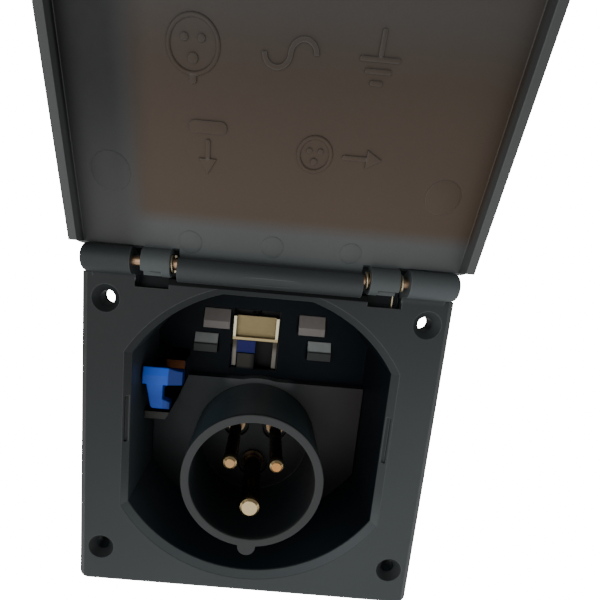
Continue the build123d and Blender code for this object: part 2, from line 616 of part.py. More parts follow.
# Terminal block round the wire barrels
with BuildPart() as terminal_block:
    rod(0, COLLAR_Z, BLOCK_R, BLOCK_REAR, WEB_FRONT)
    for name, x, z, radius, outward in PINS:
        rod(x, z, radius + BARREL_RIM + SEAT_GAP, BLOCK_REAR, WEB_FRONT, mode=Mode.SUBTRACT)
        outside = COLLAR_Z + outward * BLOCK_R
        post(x, TERMINAL_Y, TERMINAL_HEAD_R + FIT_GAP,
             min(z, outside), max(z, outside), mode=Mode.SUBTRACT)
    for x, z in BLOCK_SCREWS:
        rod(x, z, SHANK_R + CLEAR_GAP, BLOCK_REAR, WEB_FRONT, mode=Mode.SUBTRACT)
save(terminal_block, "terminal_block")

# Clamp screws of the three terminals
with BuildPart() as terminal_screws:
    for name, x, z, radius, outward in PINS:
        wire_side = z + outward * WIRE_R
        seat = z + outward * (radius + BARREL_RIM + TERMINAL_STANDOFF)
        crown = seat + outward * TERMINAL_HEAD_H
        post(x, TERMINAL_Y, TERMINAL_R, min(wire_side, seat), max(wire_side, seat))
        post(x, TERMINAL_Y, TERMINAL_HEAD_R, min(seat, crown), max(seat, crown))
        with BuildSketch(level(min(crown, crown - outward * DRIVE_DEPTH))):
            with Locations((x, TERMINAL_Y)):
                Rectangle(2 * TERMINAL_HEAD_R, DRIVE_W)
        extrude(amount=DRIVE_DEPTH, mode=Mode.SUBTRACT)
save(terminal_screws, "terminal_screws")

# Screws that hold the terminal block to the insert
with BuildPart() as block_screws:
    for x, z in BLOCK_SCREWS:
        rear_screw(x, z, BLOCK_REAR, WEB_FRONT - SCREW_BITE)
save(block_screws, "block_screws")

# Screws that hold the insert to the rear wall
with BuildPart() as insert_screws:
    for x, z in INSERT_SCREWS:
        rear_screw(x, z, WEB_REAR, WEB_FRONT - SCREW_BITE)
save(insert_screws, "insert_screws")

# Lid: tray, hinge bar and two knuckles
with BuildPart() as lid:
    with BuildSketch(lid_layer(-LID_BACK)) as tray_sketch:
        span(-FLANGE_W / 2, FLANGE_W / 2, LID_TOE, LID_END)
        fillet(tray_sketch.vertices().group_by(Axis.Y)[-1], LID_CORNER)
    extrude(amount=LID_BACK + LID_FRONT)
    back_face = lid.faces().sort_by(Axis((0, 0, 0), lid_layer(0).z_dir))[0]
    outer_edges = back_face.edges().sort_by(Axis((0, 0, 0), lid_section(0).x_dir))[1:]
    fillet(outer_edges, LID_EDGE)
    with BuildSketch(lid_section(-FLANGE_W / 2)):
        with BuildLine():
            Polyline(
                (LID_TOE, -LID_BACK),
                (LID_START, LID_INSIDE),
                (LID_START + LID_HEEL, LID_FRONT),
                (LID_TOE, LID_FRONT),
                close=True,
            )
        make_face()
    extrude(amount=FLANGE_W, mode=Mode.SUBTRACT)
    with BuildSketch(lid_layer(LID_INSIDE)) as cavity_sketch:
        span(LID_RIM - FLANGE_W / 2, FLANGE_W / 2 - LID_RIM, LID_START - LID_RIM, LID_END - LID_RIM)
        fillet(cavity_sketch.vertices().group_by(Axis.Y)[-1], LID_CORNER / 2)
    extrude(amount=LID_FRONT - LID_INSIDE, mode=Mode.SUBTRACT)
    bar_middle = (-BAR_BEHIND, BAR_INSIDE)
    for start, end, middle, radius in (
        (-BAR_HALF, BAR_HALF, bar_middle, BAR_R),
        (KNUCKLE_IN, KNUCKLE_OUT, (0, 0), BARREL_R),
        (-KNUCKLE_OUT, -KNUCKLE_IN, (0, 0), BARREL_R),
    ):
        with BuildSketch(lid_section(start)):
            with Locations(middle):
                Circle(radius)
            span(0, LID_START + LID_EDGE, -LID_BACK, LID_INSIDE)
        extrude(amount=end - start)
    with BuildSketch(lid_section(-KNUCKLE_OUT)):
        Circle(HINGE_PIN_R + RUN_GAP)
    extrude(amount=2 * KNUCKLE_OUT, mode=Mode.SUBTRACT)
    # Spring chambers: walled at the left knuckle's outer end, right through the other knuckle
    for start, end in ((KNUCKLE_WALL - KNUCKLE_OUT, -KNUCKLE_IN), (KNUCKLE_IN, KNUCKLE_OUT)):
        with BuildSketch(lid_section(start)):
            Circle(COIL_CHAMBER_R)
        extrude(amount=end - start, mode=Mode.SUBTRACT)
    for start in (-KNUCKLE_OUT, KNUCKLE_OUT - WINDOW_W):
        with BuildSketch(lid_section(start)):
            span(-BARREL_R, -WINDOW_TOP, WINDOW_BACK, BARREL_R)
        extrude(amount=WINDOW_W, mode=Mode.SUBTRACT)
    bar_centre = lid_section(0).from_local_coords((*bar_middle, 0))
    groove_plane = Plane(origin=bar_centre, x_dir=(1, 0, 0), z_dir=lid_section(0).x_dir)
    with BuildSketch(groove_plane):
        with Locations((0, GROOVE_DEPTH - BAR_R - GROOVE_R)):
            Circle(GROOVE_R)
    extrude(amount=GROOVE_W / 2, both=True, mode=Mode.SUBTRACT)
save(lid, "lid")

# Hinge pin
with BuildPart() as hinge_pin:
    with BuildSketch(across(-BARREL_OUT)):
        with Locations((HINGE_Y, HINGE_Z)):
            Circle(HINGE_PIN_R)
    extrude(amount=2 * BARREL_OUT - PIN_COVER)
save(hinge_pin, "hinge_pin")

# Lid springs: a coil in each knuckle, with a bent leg that stands on the flange
for name, first, last, leg_x, leg_foot in (
    ("torsion_spring_left", -LEFT_COIL_END, -COIL_START, -COIL_START, FLANGE_TOP),
    ("torsion_spring_right", COIL_START, RIGHT_COIL_END, RIGHT_COIL_END, FLANGE_TOP - KNUCKLE_CUT),
):
    with BuildPart() as torsion_spring:
        with BuildLine():
            coil = Helix(COIL_PITCH, last - first, COIL_R,
                         center=(first, HINGE_Y, HINGE_Z), direction=(1, 0, 0))
        with BuildSketch(Plane(origin=coil @ 0, z_dir=coil % 0)):
            Circle(COIL_WIRE_R)
        sweep(path=coil, is_frenet=True)
        leg_root = HINGE_Z - COIL_R
        rod(leg_x, leg_root, COIL_WIRE_R, COIL_LEG_Y, HINGE_Y)
        post(leg_x, COIL_LEG_Y, COIL_WIRE_R, leg_foot + SEAT_GAP, leg_root)
        with Locations((leg_x, COIL_LEG_Y, leg_root)):
            Sphere(COIL_WIRE_R)
    save(torsion_spring, name)

# Latch: bent sheet with two legs, bent edges and a tab for its spring
with BuildPart() as latch_plate:
    bar(LATCH_LEFT, LATCH_RIGHT, LATCH_BOTTOM, LATCH_TOP, LATCH_REAR, LATCH_FRONT)
    lip_front = WEB_FRONT - SLIP_GAP
    for x0 in (LATCH_LEFT, LATCH_RIGHT - LATCH_T):
        bar(x0, x0 + LATCH_T, LATCH_BOTTOM, LATCH_TOP, LATCH_REAR, lip_front)
    bar(LATCH_LEFT, LATCH_RIGHT, LATCH_BOTTOM, LATCH_BOTTOM + LATCH_T, LATCH_REAR, lip_front)
    for x0 in (LATCH_LEFT, LATCH_RIGHT - LATCH_LEG_W):
        bar(x0, x0 + LATCH_LEG_W, LATCH_LEG_FOOT, LATCH_BOTTOM, LATCH_REAR, LATCH_FRONT)
    bar(LATCH_X - TAB_HALF, LATCH_X + TAB_HALF, LATCH_TOP - LATCH_T, LATCH_TOP,
        CARRIER_INNER - SLIP_GAP, LATCH_FRONT)
save(latch_plate, "latch_plate")

# Latch spring between the latch's tab and the carrier
with BuildPart() as latch_spring:
    coil_height = CARRIER_LID - LATCH_TOP - 2 * LATCH_WIRE_R
    with BuildLine():
        coil = Helix(LATCH_COIL_PITCH, coil_height, LATCH_COIL_R,
                     center=(LATCH_X, LATCH_COIL_Y, LATCH_TOP + LATCH_WIRE_R))
    with BuildSketch(Plane(origin=coil @ 0, z_dir=coil % 0)):
        Circle(LATCH_WIRE_R)
    sweep(path=coil, is_frenet=True)
save(latch_spring, "latch_spring")

# Latch carrier: a tray clipped behind the rear wall by four hooks
with BuildPart() as latch_carrier:
    with BuildSketch(facing(CARRIER_REAR)):
        recess_outline(-CARRIER_INSET)
        span(-CARRIER_HALF, CARRIER_HALF, CARRIER_BOTTOM, CARRIER_TOP, mode=Mode.INTERSECT)
    extrude(amount=CARRIER_REAR - WEB_REAR)
    with BuildSketch(facing(CARRIER_INNER)):
        recess_outline(-CARRIER_INSET - CARRIER_WALL)
        span(CARRIER_WALL - CARRIER_HALF, CARRIER_HALF - CARRIER_WALL, 0, CARRIER_LID, mode=Mode.INTERSECT)
    extrude(amount=CARRIER_ROOM, mode=Mode.SUBTRACT)
    bar(-CARRIER_HALF, PIVOT[0], CARRIER_BOTTOM, PIVOT_Z + FIT_GAP,
        CARRIER_INNER, WEB_REAR, mode=Mode.SUBTRACT)
    for x, z, width, height in HOOKS:
        with BuildSketch(across(x - width / 2)):
            span(WEB_FRONT - FIT_GAP, CARRIER_INNER, z, z + HOOK_STEM)
            with BuildLine():
                Polyline(
                    (WEB_FRONT - FIT_GAP, z),
                    (WEB_FRONT - FIT_GAP, z + height),
                    (WEB_FRONT - FIT_GAP - HOOK_NOSE, z + HOOK_STEM + HOOK_CATCH / 2),
                    (WEB_FRONT - FIT_GAP - HOOK_NOSE, z),
                    close=True,
                )
            make_face()
        extrude(amount=width)
    left_guide = (LATCH_LEFT - SLIP_GAP - GUIDE_W, PIVOT_Z + HUB_R + LATCH_T)
    right_guide = (LATCH_RIGHT + SLIP_GAP, CARRIER_BOTTOM)
    for x0, foot in (left_guide, right_guide):
        bar(x0, x0 + GUIDE_W, foot, CARRIER_LID, CARRIER_INNER, LATCH_FRONT)
    rod(*PIVOT, PIVOT_R + SEAT_GAP, CARRIER_REAR, CARRIER_INNER, mode=Mode.SUBTRACT)
save(latch_carrier, "latch_carrier")

# Pivot pin of the lever
with BuildPart() as lever_pivot_pin:
    rod(*PIVOT, PIVOT_R, CARRIER_REAR, WEB_REAR - PIVOT_SEAT)
save(lever_pivot_pin, "lever_pivot_pin")

# Release lever: handle in the recess, neck through the rear wall, arm and nose behind it
with BuildPart() as lever_handle:
    with BuildSketch(across(HANDLE_X)):
        with BuildLine():
            Polyline(
                (HANDLE_FRONT, HANDLE_BOTTOM),
                (HANDLE_FRONT, HANDLE_TOP - HANDLE_BEVEL),
                (HANDLE_FRONT + HANDLE_LEAN, HANDLE_TOP),
                (HANDLE_REAR, HANDLE_TOP - HANDLE_FALL),
                (HANDLE_REAR, HANDLE_BOTTOM),
                close=True,
            )
        make_face()
    extrude(amount=HANDLE_W + CHEEK)
    with BuildSketch(level(HANDLE_BOTTOM)):
        with BuildLine():
            Polyline(
                (HANDLE_RIGHT, HANDLE_FRONT),
                (HANDLE_RIGHT + CHEEK, HANDLE_FRONT),
                (HANDLE_RIGHT + CHEEK, HANDLE_FRONT + CHEEK_BACK),
                close=True,
            )
        make_face()
    extrude(amount=HANDLE_H, mode=Mode.SUBTRACT)
    with BuildSketch(facing(HANDLE_REAR)):
        with BuildLine():
            Polyline(
                (HANDLE_RIGHT, HANDLE_TOP),
                (HANDLE_RIGHT + CHEEK, HANDLE_TOP),
                (HANDLE_RIGHT + CHEEK, HANDLE_TOP - CHEEK_FALL),
                close=True,
            )
        make_face()
    extrude(amount=HANDLE_DEPTH, mode=Mode.SUBTRACT)
    fillet(lever_handle.edges(), HANDLE_EDGE)

with BuildPart() as lever_leg:
    with BuildSketch(facing(HANDLE_FRONT + GRIP_T)) as leg_sketch:
        with BuildLine():
            grip_right = HANDLE_RIGHT - (HANDLE_W - GRIP_W) / 2
            grip_foot = HANDLE_BOTTOM - GRIP_L
            Polyline(
                (grip_right - GRIP_W, HANDLE_BOTTOM + HANDLE_EDGE),
                (grip_right - GRIP_FOOT_W, grip_foot),
                (grip_right + GRIP_TOE, grip_foot),
                (grip_right + GRIP_TOE, grip_foot + GRIP_TOE_H),
                (grip_right, grip_foot + GRIP_TOE_H + GRIP_FLARE),
                (grip_right, HANDLE_BOTTOM + HANDLE_EDGE),
                close=True,
            )
        make_face()
        corners = leg_sketch.vertices()
        fillet(corners.sort_by_distance((grip_right - GRIP_FOOT_W, grip_foot))[0], GRIP_HEEL_R)
        fillet(corners.sort_by_distance((grip_right + GRIP_TOE, grip_foot + GRIP_TOE_H))[0], GRIP_TOE_R)
    extrude(amount=GRIP_T)
    fillet(lever_leg.edges(), HANDLE_EDGE)

with BuildPart() as release_lever:
    add(lever_handle.part)
    add(lever_leg.part)
    bar(NECK_X, NECK_RIGHT, NECK_BOTTOM, NECK_TOP, ARM_REAR, HANDLE_FRONT + GRIP_T / 2)
    with BuildSketch(facing(ARM_REAR)):
        span(NECK_X, PIVOT[0] + HUB_R, ARM_BOTTOM, ARM_BOTTOM + ARM_H)
        span(PIVOT[0] - HUB_R, NOSE_X + NOSE_W, PIVOT_Z - HUB_R, PIVOT_Z)
        span(NOSE_X, NOSE_X + NOSE_W, PIVOT_Z - HUB_R, NOSE_TOP)
        with Locations(PIVOT):
            Circle(HUB_R)
            Circle(PIVOT_R + RUN_GAP, mode=Mode.SUBTRACT)
    extrude(amount=ARM_T)
    bar(NOSE_X, NOSE_X + NOSE_W, NOSE_TOP - NOSE_H, NOSE_TOP, ARM_REAR, WEB_FRONT)
    bar(NOSE_X - NOSE_OVER, NOSE_X + NOSE_W, NOSE_TOP - NOSE_H, NOSE_TOP, LATCH_FRONT - SLIP_GAP, WEB_FRONT)
save(release_lever, "release_lever")

# Leaf spring: foot on the rear wall, run forward and lip down to the neck
with BuildPart() as lever_spring:
    bar(LEAF_LEFT, LEAF_RIGHT, LEAF_RUN_Z, LEAF_RUN_Z + LEAF_FOOT, WEB_FRONT, WEB_FRONT - LEAF_T)
    bar(LEAF_LEFT, LEAF_RIGHT, LEAF_RUN_Z, LEAF_RUN_Z + LEAF_T, WEB_FRONT, WEB_FRONT - LEAF_RUN)
    bar(LEAF_LEFT, LEAF_RIGHT, LEAF_LIP_Z, LEAF_RUN_Z, WEB_FRONT - LEAF_RUN + LEAF_T, WEB_FRONT - LEAF_RUN)
save(lever_spring, "lever_spring")

# Seal between housing and rear cover
with BuildPart() as cover_seal:
    with BuildSketch(facing(COVER_FRONT)):
        recess_outline(WALL)
    extrude(amount=SEAL_T)
    with BuildSketch(facing(COVER_FRONT)):
        recess_outline()
    extrude(amount=SEAL_T, mode=Mode.SUBTRACT)
save(cover_seal, "cover_seal")

# Rear cover with the dome for the cable gland
with BuildPart() as rear_cover:
    with BuildSketch(facing(COVER_REAR)):
        recess_outline(WALL)
    extrude(amount=COVER_T)
    rod(0, COLLAR_Z, DOME_R, DOME_REAR, COVER_REAR)
    rod(0, COLLAR_Z, DOME_R - DOME_WALL, DOME_END, COVER_FRONT, mode=Mode.SUBTRACT)
    rod(0, COLLAR_Z, GLAND_R + SEAT_GAP, DOME_REAR, DOME_END, mode=Mode.SUBTRACT)
    for x, z in BOSSES:
        rod(x, z, SHANK_R + CLEAR_GAP, COVER_REAR, COVER_FRONT, mode=Mode.SUBTRACT)
save(rear_cover, "rear_cover")

# Cover screws
with BuildPart() as cover_screws:
    for x, z in BOSSES:
        rear_screw(x, z, COVER_REAR, HOUSING_REAR - COVER_SCREW_L)
save(cover_screws, "cover_screws")

# Cable gland: body, lock nut, seal and nut
with BuildPart() as gland_body:
    rod(0, COLLAR_Z, GLAND_R, DOME_REAR, DOME_REAR - GLAND_STUB)
    with BuildSketch(facing(GLAND_HEX_REAR)):
        with Locations((0, COLLAR_Z)):
            RegularPolygon(GLAND_HEX / 2, 6, major_radius=False)
    extrude(amount=GLAND_COLLAR)
    rod(0, COLLAR_Z, GLAND_NECK_R, GLAND_NECK_REAR, GLAND_HEX_REAR)
    rod(0, COLLAR_Z, GLAND_BORE_R, GLAND_NECK_REAR, DOME_REAR - GLAND_STUB, mode=Mode.SUBTRACT)
save(gland_body, "gland_body")

with BuildPart() as gland_locknut:
    with BuildSketch(facing(DOME_END)):
        with Locations((0, COLLAR_Z)):
            RegularPolygon(LOCKNUT_HEX / 2, 6, major_radius=False)
            Circle(GLAND_R + SEAT_GAP, mode=Mode.SUBTRACT)
    extrude(amount=LOCKNUT_T)
save(gland_locknut, "gland_locknut")

with BuildPart() as gland_seal:
    rod(0, COLLAR_Z, GLAND_BORE_R - SEAT_GAP, GLAND_NECK_REAR, GLAND_HEX_REAR)
    rod(0, COLLAR_Z, CABLE_R, GLAND_NECK_REAR, GLAND_HEX_REAR, mode=Mode.SUBTRACT)
save(gland_seal, "gland_seal")

with BuildPart() as gland_nut:
    with BuildSketch(facing(GLAND_NUT_REAR)):
        with Locations((0, COLLAR_Z)):
            RegularPolygon(GLAND_HEX / 2, 6, major_radius=False)
    extrude(amount=GLAND_NUT_L)
    fillet(gland_nut.faces().sort_by(Axis.Y)[-1].edges(), GLAND_MOUTH_WALL / 2)
    rod(0, COLLAR_Z, GLAND_NECK_R + SEAT_GAP,
        GLAND_NUT_REAR - GLAND_MOUTH_WALL, GLAND_NUT_FRONT, mode=Mode.SUBTRACT)
    rod(0, COLLAR_Z, GLAND_MOUTH_R, GLAND_NUT_REAR, GLAND_NUT_FRONT, mode=Mode.SUBTRACT)
save(gland_nut, "gland_nut")
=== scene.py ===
# %% [markdown]
# # A flush mains inlet with its lid open
# The solid model arrives from CAD as a fixed frame: every node already has its size, its place and its
# joint. This lesson dresses it. We set up a camera and soft light, give each node a finish made of shader
# nodes, and model the few small things that are too fine for the solid model.

# %% Load the frame
import json
from math import cos, pi, radians, sin

import bpy
from mathutils import Matrix, Vector


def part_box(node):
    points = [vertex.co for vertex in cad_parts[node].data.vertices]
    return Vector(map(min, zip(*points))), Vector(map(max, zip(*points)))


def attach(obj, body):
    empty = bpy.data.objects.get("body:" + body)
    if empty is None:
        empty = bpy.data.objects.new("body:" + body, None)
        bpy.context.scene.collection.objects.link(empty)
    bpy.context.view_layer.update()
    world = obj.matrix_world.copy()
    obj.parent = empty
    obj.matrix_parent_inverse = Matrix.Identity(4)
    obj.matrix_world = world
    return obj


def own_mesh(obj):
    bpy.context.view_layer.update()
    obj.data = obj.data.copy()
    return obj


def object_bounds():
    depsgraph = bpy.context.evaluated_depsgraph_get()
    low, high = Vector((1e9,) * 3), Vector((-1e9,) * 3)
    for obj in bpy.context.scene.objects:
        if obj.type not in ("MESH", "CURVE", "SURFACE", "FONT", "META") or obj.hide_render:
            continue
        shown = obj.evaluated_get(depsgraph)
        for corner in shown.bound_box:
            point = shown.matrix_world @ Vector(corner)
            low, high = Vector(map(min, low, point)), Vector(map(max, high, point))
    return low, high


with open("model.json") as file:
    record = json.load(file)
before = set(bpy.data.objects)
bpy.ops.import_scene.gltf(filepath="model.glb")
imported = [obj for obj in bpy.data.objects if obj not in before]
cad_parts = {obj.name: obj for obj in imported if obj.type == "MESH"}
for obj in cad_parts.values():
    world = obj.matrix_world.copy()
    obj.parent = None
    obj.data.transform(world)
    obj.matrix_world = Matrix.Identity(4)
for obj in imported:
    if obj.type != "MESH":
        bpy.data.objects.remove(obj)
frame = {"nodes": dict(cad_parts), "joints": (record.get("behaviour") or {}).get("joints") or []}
cad_low, cad_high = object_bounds()
nodes = frame["nodes"]
joints = {joint["name"]: joint for joint in frame["joints"]}
MM = 0.001
print("nodes", len(nodes), "box in mm", [round((b - a) / MM, 1) for a, b in zip(cad_low, cad_high)])

# %% [markdown]
# ## The camera
# The camera was worked out from the straight edges of the flange and from the round collar. It stands
# close, a little above the hinge, so the lid leans towards us. A close camera gives strong perspective, so
# its place matters more than its lens. The frame is off centre, which a lens shift gives without turning
# the camera.

# %% Camera
camera = bpy.data.objects.new("inlet_camera", bpy.data.cameras.new("inlet_camera"))
bpy.context.scene.collection.objects.link(camera)
camera_right = Vector((0.9963, 0.0099, 0.0855))
camera_up = Vector((-0.0857, 0.2052, 0.9750))
camera_back = Vector((-0.0079, -0.9787, 0.2053))
camera_place = Vector((-1.682, -162.041, 67.759)) * MM
turn = Matrix((camera_right, camera_up, camera_back)).transposed().to_4x4()
camera.matrix_world = Matrix.Translation(camera_place) @ turn
camera.data.sensor_width = 36.0
camera.data.lens = 28.8
camera.data.shift_x = 0.0618
camera.data.shift_y = 0.0668
camera.data.clip_start = 0.005
bpy.context.scene.camera = camera
print("camera at", [round(v / MM, 1) for v in camera_place])

# %% [markdown]
# ## Places that the finishes need
# A finish can change from place to place, for example where the recess gets deep. Most of those places are
# read from the frame, so they follow the solid model: the hinge comes from its joint, the depths from the
# insert. The values at the top repeat sizes of the solid model that no box gives, and the last of them
# keeps the inlet just clear of the floor.

# %% Landmarks
COLLAR_AXIS = -15.8 * MM
SCREW_SIDE = 52.0 * MM
SCREW_LOW = -45.0 * MM
PLATE_TOP = 10.5 * MM
PLATE_THICK = 5.0 * MM
COLLAR_SETBACK = 1.0 * MM
FLOOR_GAP = 0.5 * MM

hinge = joints["lid_hinge"]
hinge_axis = Vector(hinge["pos_m"])
lid_open = radians(hinge["range_deg"][1])
lid_along = Vector((0, -sin(lid_open), -cos(lid_open)))
lid_inward = Vector((0, cos(lid_open), -sin(lid_open)))
insert_low, insert_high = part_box("connector_insert")
collar_mouth = insert_low.y
web_face = insert_high.y
plate_face = web_face - PLATE_THICK
flange_face = collar_mouth - COLLAR_SETBACK
latch_low, latch_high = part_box("latch_plate")
floor_level = cad_low.z - FLOOR_GAP
print("flange face", round(flange_face / MM, 2), "rear wall", round(web_face / MM, 2), "mm")

# %% [markdown]
# ## Light
# The inlet was photographed on a bright table: surfaces that face down or forward are light, and those that
# face up are dark. So the pale floor itself glows, a dim white world fills the rest, and one wide soft lamp
# in front adds the highlights. For what the camera sees directly, the world is as bright as the floor, so
# that no horizon shows.

# %% World, floor and lamp
SEEN = 20.0  # strength of floor and world, as the camera sees them
GLOW = 0.8  # strength of the floor for every other ray
FILL = 0.16  # strength of the world for every other ray


def show_bright(tree, kind, lit, output):
    """The camera sees a bright surround, while every other ray meets the shader node called lit."""
    bright = tree.nodes.new(kind)
    bright.inputs["Color"].default_value = (1.0, 1.0, 1.0, 1.0)
    bright.inputs["Strength"].default_value = SEEN
    ray_kind = tree.nodes.new("ShaderNodeLightPath")
    mix = tree.nodes.new("ShaderNodeMixShader")
    tree.links.new(ray_kind.outputs["Is Camera Ray"], mix.inputs[0])
    tree.links.new(tree.nodes[lit].outputs[0], mix.inputs[1])
    tree.links.new(bright.outputs[0], mix.inputs[2])
    tree.links.new(mix.outputs[0], tree.nodes[output].inputs["Surface"])


world = bpy.data.worlds.new("pale_room")
bpy.context.scene.world = world
world.use_nodes = True
fill_light = world.node_tree.nodes["Background"]
fill_light.inputs["Color"].default_value = (1.0, 1.0, 1.0, 1.0)
fill_light.inputs["Strength"].default_value = FILL
show_bright(world.node_tree, "ShaderNodeBackground", "Background", "World Output")

bpy.ops.object.select_all(action="DESELECT")
bpy.ops.mesh.primitive_plane_add(size=12.0, location=(0, 0, floor_level))
floor = bpy.context.object
floor.name = "pale_floor"
floor_paint = bpy.data.materials.new("pale_floor")
floor_paint.use_nodes = True
floor_shader = floor_paint.node_tree.nodes["Principled BSDF"]
floor_shader.inputs["Base Color"].default_value = (0.9, 0.9, 0.9, 1.0)
floor_shader.inputs["Roughness"].default_value = 0.9
floor_shader.inputs["Emission Color"].default_value = (1.0, 1.0, 1.0, 1.0)
floor_shader.inputs["Emission Strength"].default_value = GLOW
show_bright(floor_paint.node_tree, "ShaderNodeEmission", "Principled BSDF", "Material Output")
floor.data.materials.append(floor_paint)

lamp_data = bpy.data.lights.new("soft_lamp", "AREA")
lamp_data.energy = 1.2
lamp_data.size = 0.5
lamp = bpy.data.objects.new("soft_lamp", lamp_data)
lamp.location = (-0.3, -0.6, 0.12)
lamp.rotation_euler = (-lamp.location).to_track_quat("-Z", "Y").to_euler()
bpy.context.scene.collection.objects.link(lamp)
print("floor at", round(floor_level / MM, 1), "mm")

# %% [markdown]
# ## Sockets with arithmetic
# A finish is a graph of shader nodes. Wiring each Math node by hand hides the idea, so a small class wraps
# one output socket: adding or multiplying two of them adds the Math node and returns its output. Every
# other kind of node comes from one method, which takes the kind, its settings and what goes into its
# sockets.

# %% The socket class
class Flow:
    """An output socket of a shader node. Arithmetic on it adds Math nodes to the same material."""

    def __init__(self, tree, output=None):
        self.tree = tree
        self.output = output

    def node(self, kind, settings=(), inputs=(), output=0):
        """Add a node: its settings first, then the values or links of its sockets."""
        made = self.tree.nodes.new(kind)
        for name, value in dict(settings).items():
            setattr(made, name, value)
        for name, value in dict(inputs).items():
            if isinstance(value, Flow):
                self.tree.links.new(value.output, made.inputs[name])
            else:
                made.inputs[name].default_value = value
        return Flow(self.tree, made.outputs[output])

    def math(self, operation, first, second):
        return self.node("ShaderNodeMath", {"operation": operation}, {0: first, 1: second})

    def __add__(self, other):
        return self.math("ADD", self, other)

    __radd__ = __add__

    def __sub__(self, other):
        return self.math("SUBTRACT", self, other)

    def __rsub__(self, other):
        return self.math("SUBTRACT", other, self)

    def __mul__(self, other):
        return self.math("MULTIPLY", self, other)

    __rmul__ = __mul__


def start_finish(name):
    """A new material, its shader node and the place on the object that its patterns read."""
    material = bpy.data.materials.new(name)
    material.use_nodes = True
    shader = material.node_tree.nodes["Principled BSDF"]
    place = Flow(material.node_tree).node("ShaderNodeTexCoord", output="Object")
    return material, shader, place


def fill_sockets(shader, values):
    """Set or link the sockets of a finished shader node."""
    for name, value in values.items():
        if isinstance(value, Flow):
            value.tree.links.new(value.output, shader.inputs[name])
        else:
            shader.inputs[name].default_value = value


def rgb(red, green, blue):
    return (red, green, blue, 1.0)


print("finish tools ready")

# %% [markdown]
# ## Shared parts of the finishes
# Moulded plastic and pressed metal have things in common: a slow drift of tone, a fine grain, and edges
# that are never quite sharp. A Bevel node bends the normals near an edge as a small rounding would, and
# where those normals part from the flat ones lies the edge. The finishes paint it a little lighter, as a
# painted highlight.

# %% Places and masks
def along(place, direction, origin=(0, 0, 0)):
    """Distance of each point from an origin, measured in one direction."""
    moved = place.node("ShaderNodeVectorMath", {"operation": "SUBTRACT"}, {0: place, 1: tuple(origin)})
    return place.node("ShaderNodeVectorMath", {"operation": "DOT_PRODUCT"},
                      {0: moved, 1: tuple(direction)}, output="Value")


def axes(place):
    """Three numbers for each point: how far it lies to the right, to the rear and up."""
    return [along(place, direction) for direction in ((1, 0, 0), (0, 1, 0), (0, 0, 1))]


def ease(value, start, end):
    """0 before start, 1 after end, with a smooth step between them. End may be the smaller one."""
    if start < end:
        limits = {"From Min": start, "From Max": end, "To Min": 0.0, "To Max": 1.0}
    else:
        limits = {"From Min": end, "From Max": start, "To Min": 1.0, "To Max": 0.0}
    return value.node("ShaderNodeMapRange", {"interpolation_type": "SMOOTHSTEP"}, {"Value": value, **limits})


def between(value, half, soft):
    """1 nearer to the middle than half, 0 further out, with a smooth step of twice soft at both ends."""
    return ease(value, -half - soft, -half + soft) * ease(value, half + soft, half - soft)


def squared(value):
    return value * value


print("masks ready")

# %% [markdown]
# Colours are mixed by those masks. Noise makes them uneven, and it roughens the normals as well.

# %% Colours and surfaces
FLAT_AGREES = 0.995
EDGE_AGREES = 0.9


def blend(mask, low, high):
    """Colour low where the mask is 0, colour high where it is 1."""
    return mask.node("ShaderNodeMix", {"data_type": "RGBA"}, {0: mask, 6: low, 7: high}, output=2)


def shade(colour, amount):
    """A colour made darker or lighter by a factor that changes over the surface."""
    plain = colour if isinstance(colour, Flow) else colour[:3]
    return amount.node("ShaderNodeVectorMath", {"operation": "SCALE"}, {0: plain, "Scale": amount})


def noise(place, size, detail=2.0):
    """Noise from 0 to 1 whose lumps have about this size in metres."""
    return place.node("ShaderNodeTexNoise", {}, {"Vector": place, "Scale": 1.0 / size, "Detail": detail})


def soft_normal(place, radius):
    return place.node("ShaderNodeBevel", {"samples": 6}, {"Radius": radius})


def face_normal(place):
    return place.node("ShaderNodeNewGeometry", output="Normal")


def edge_mask(place, radius):
    """1 on edges within this radius, 0 on flat and gently curved faces."""
    flat = face_normal(place)
    agree = place.node("ShaderNodeVectorMath", {"operation": "DOT_PRODUCT"},
                       {0: soft_normal(place, radius), 1: flat}, output="Value")
    return ease(agree, FLAT_AGREES, EDGE_AGREES)


def grain_normal(place, radius, size, depth):
    """Rounded edges with a fine grain of this size and depth over them."""
    grain = noise(place, size, 3.0)
    return place.node("ShaderNodeBump", {}, {"Strength": 1.0, "Distance": depth, "Height": grain,
                                             "Normal": soft_normal(place, radius)})


def dress(material, *names):
    """Give CAD nodes this material, in place of the plain one they came with."""
    for name in names:
        slots = nodes[name].material_slots
        for slot in slots:
            slot.material = material
        print(material.name, "on", name, "in", len(slots), "slot")


print("surfaces ready")

# %% [markdown]
# ## Housing and lid plastic
# The housing, the lid and the rear cover are one anthracite plastic with a fine spark-eroded grain. The
# tone drifts slowly over the large faces. Painted light makes the lower right lighter than the upper left,
# and the hinge barrels lighter, most of all on the right. The lower chamfer of the recess gets a painted
# highlight, and the countersinks of the lower screws get painted shade. All of that hangs on the place on
# the object, so it stays put when the camera or the lid moves.

# %% Housing finish
GAP_HALF = 42.0 * MM
CHAMFER_HALF = 46.0 * MM
SINK_R = 4.7 * MM


def anthracite(name):
    """The start of both anthracite finishes: shader, place, tone and edge mask."""
    material, shader, place = start_finish(name)
    drift = noise(place, 45 * MM, 1.0) * 0.22 + 0.89
    speckle = noise(place, 0.5 * MM, 3.0) * 0.16 + 0.92
    return material, shader, place, drift * speckle, edge_mask(place, 0.5 * MM)


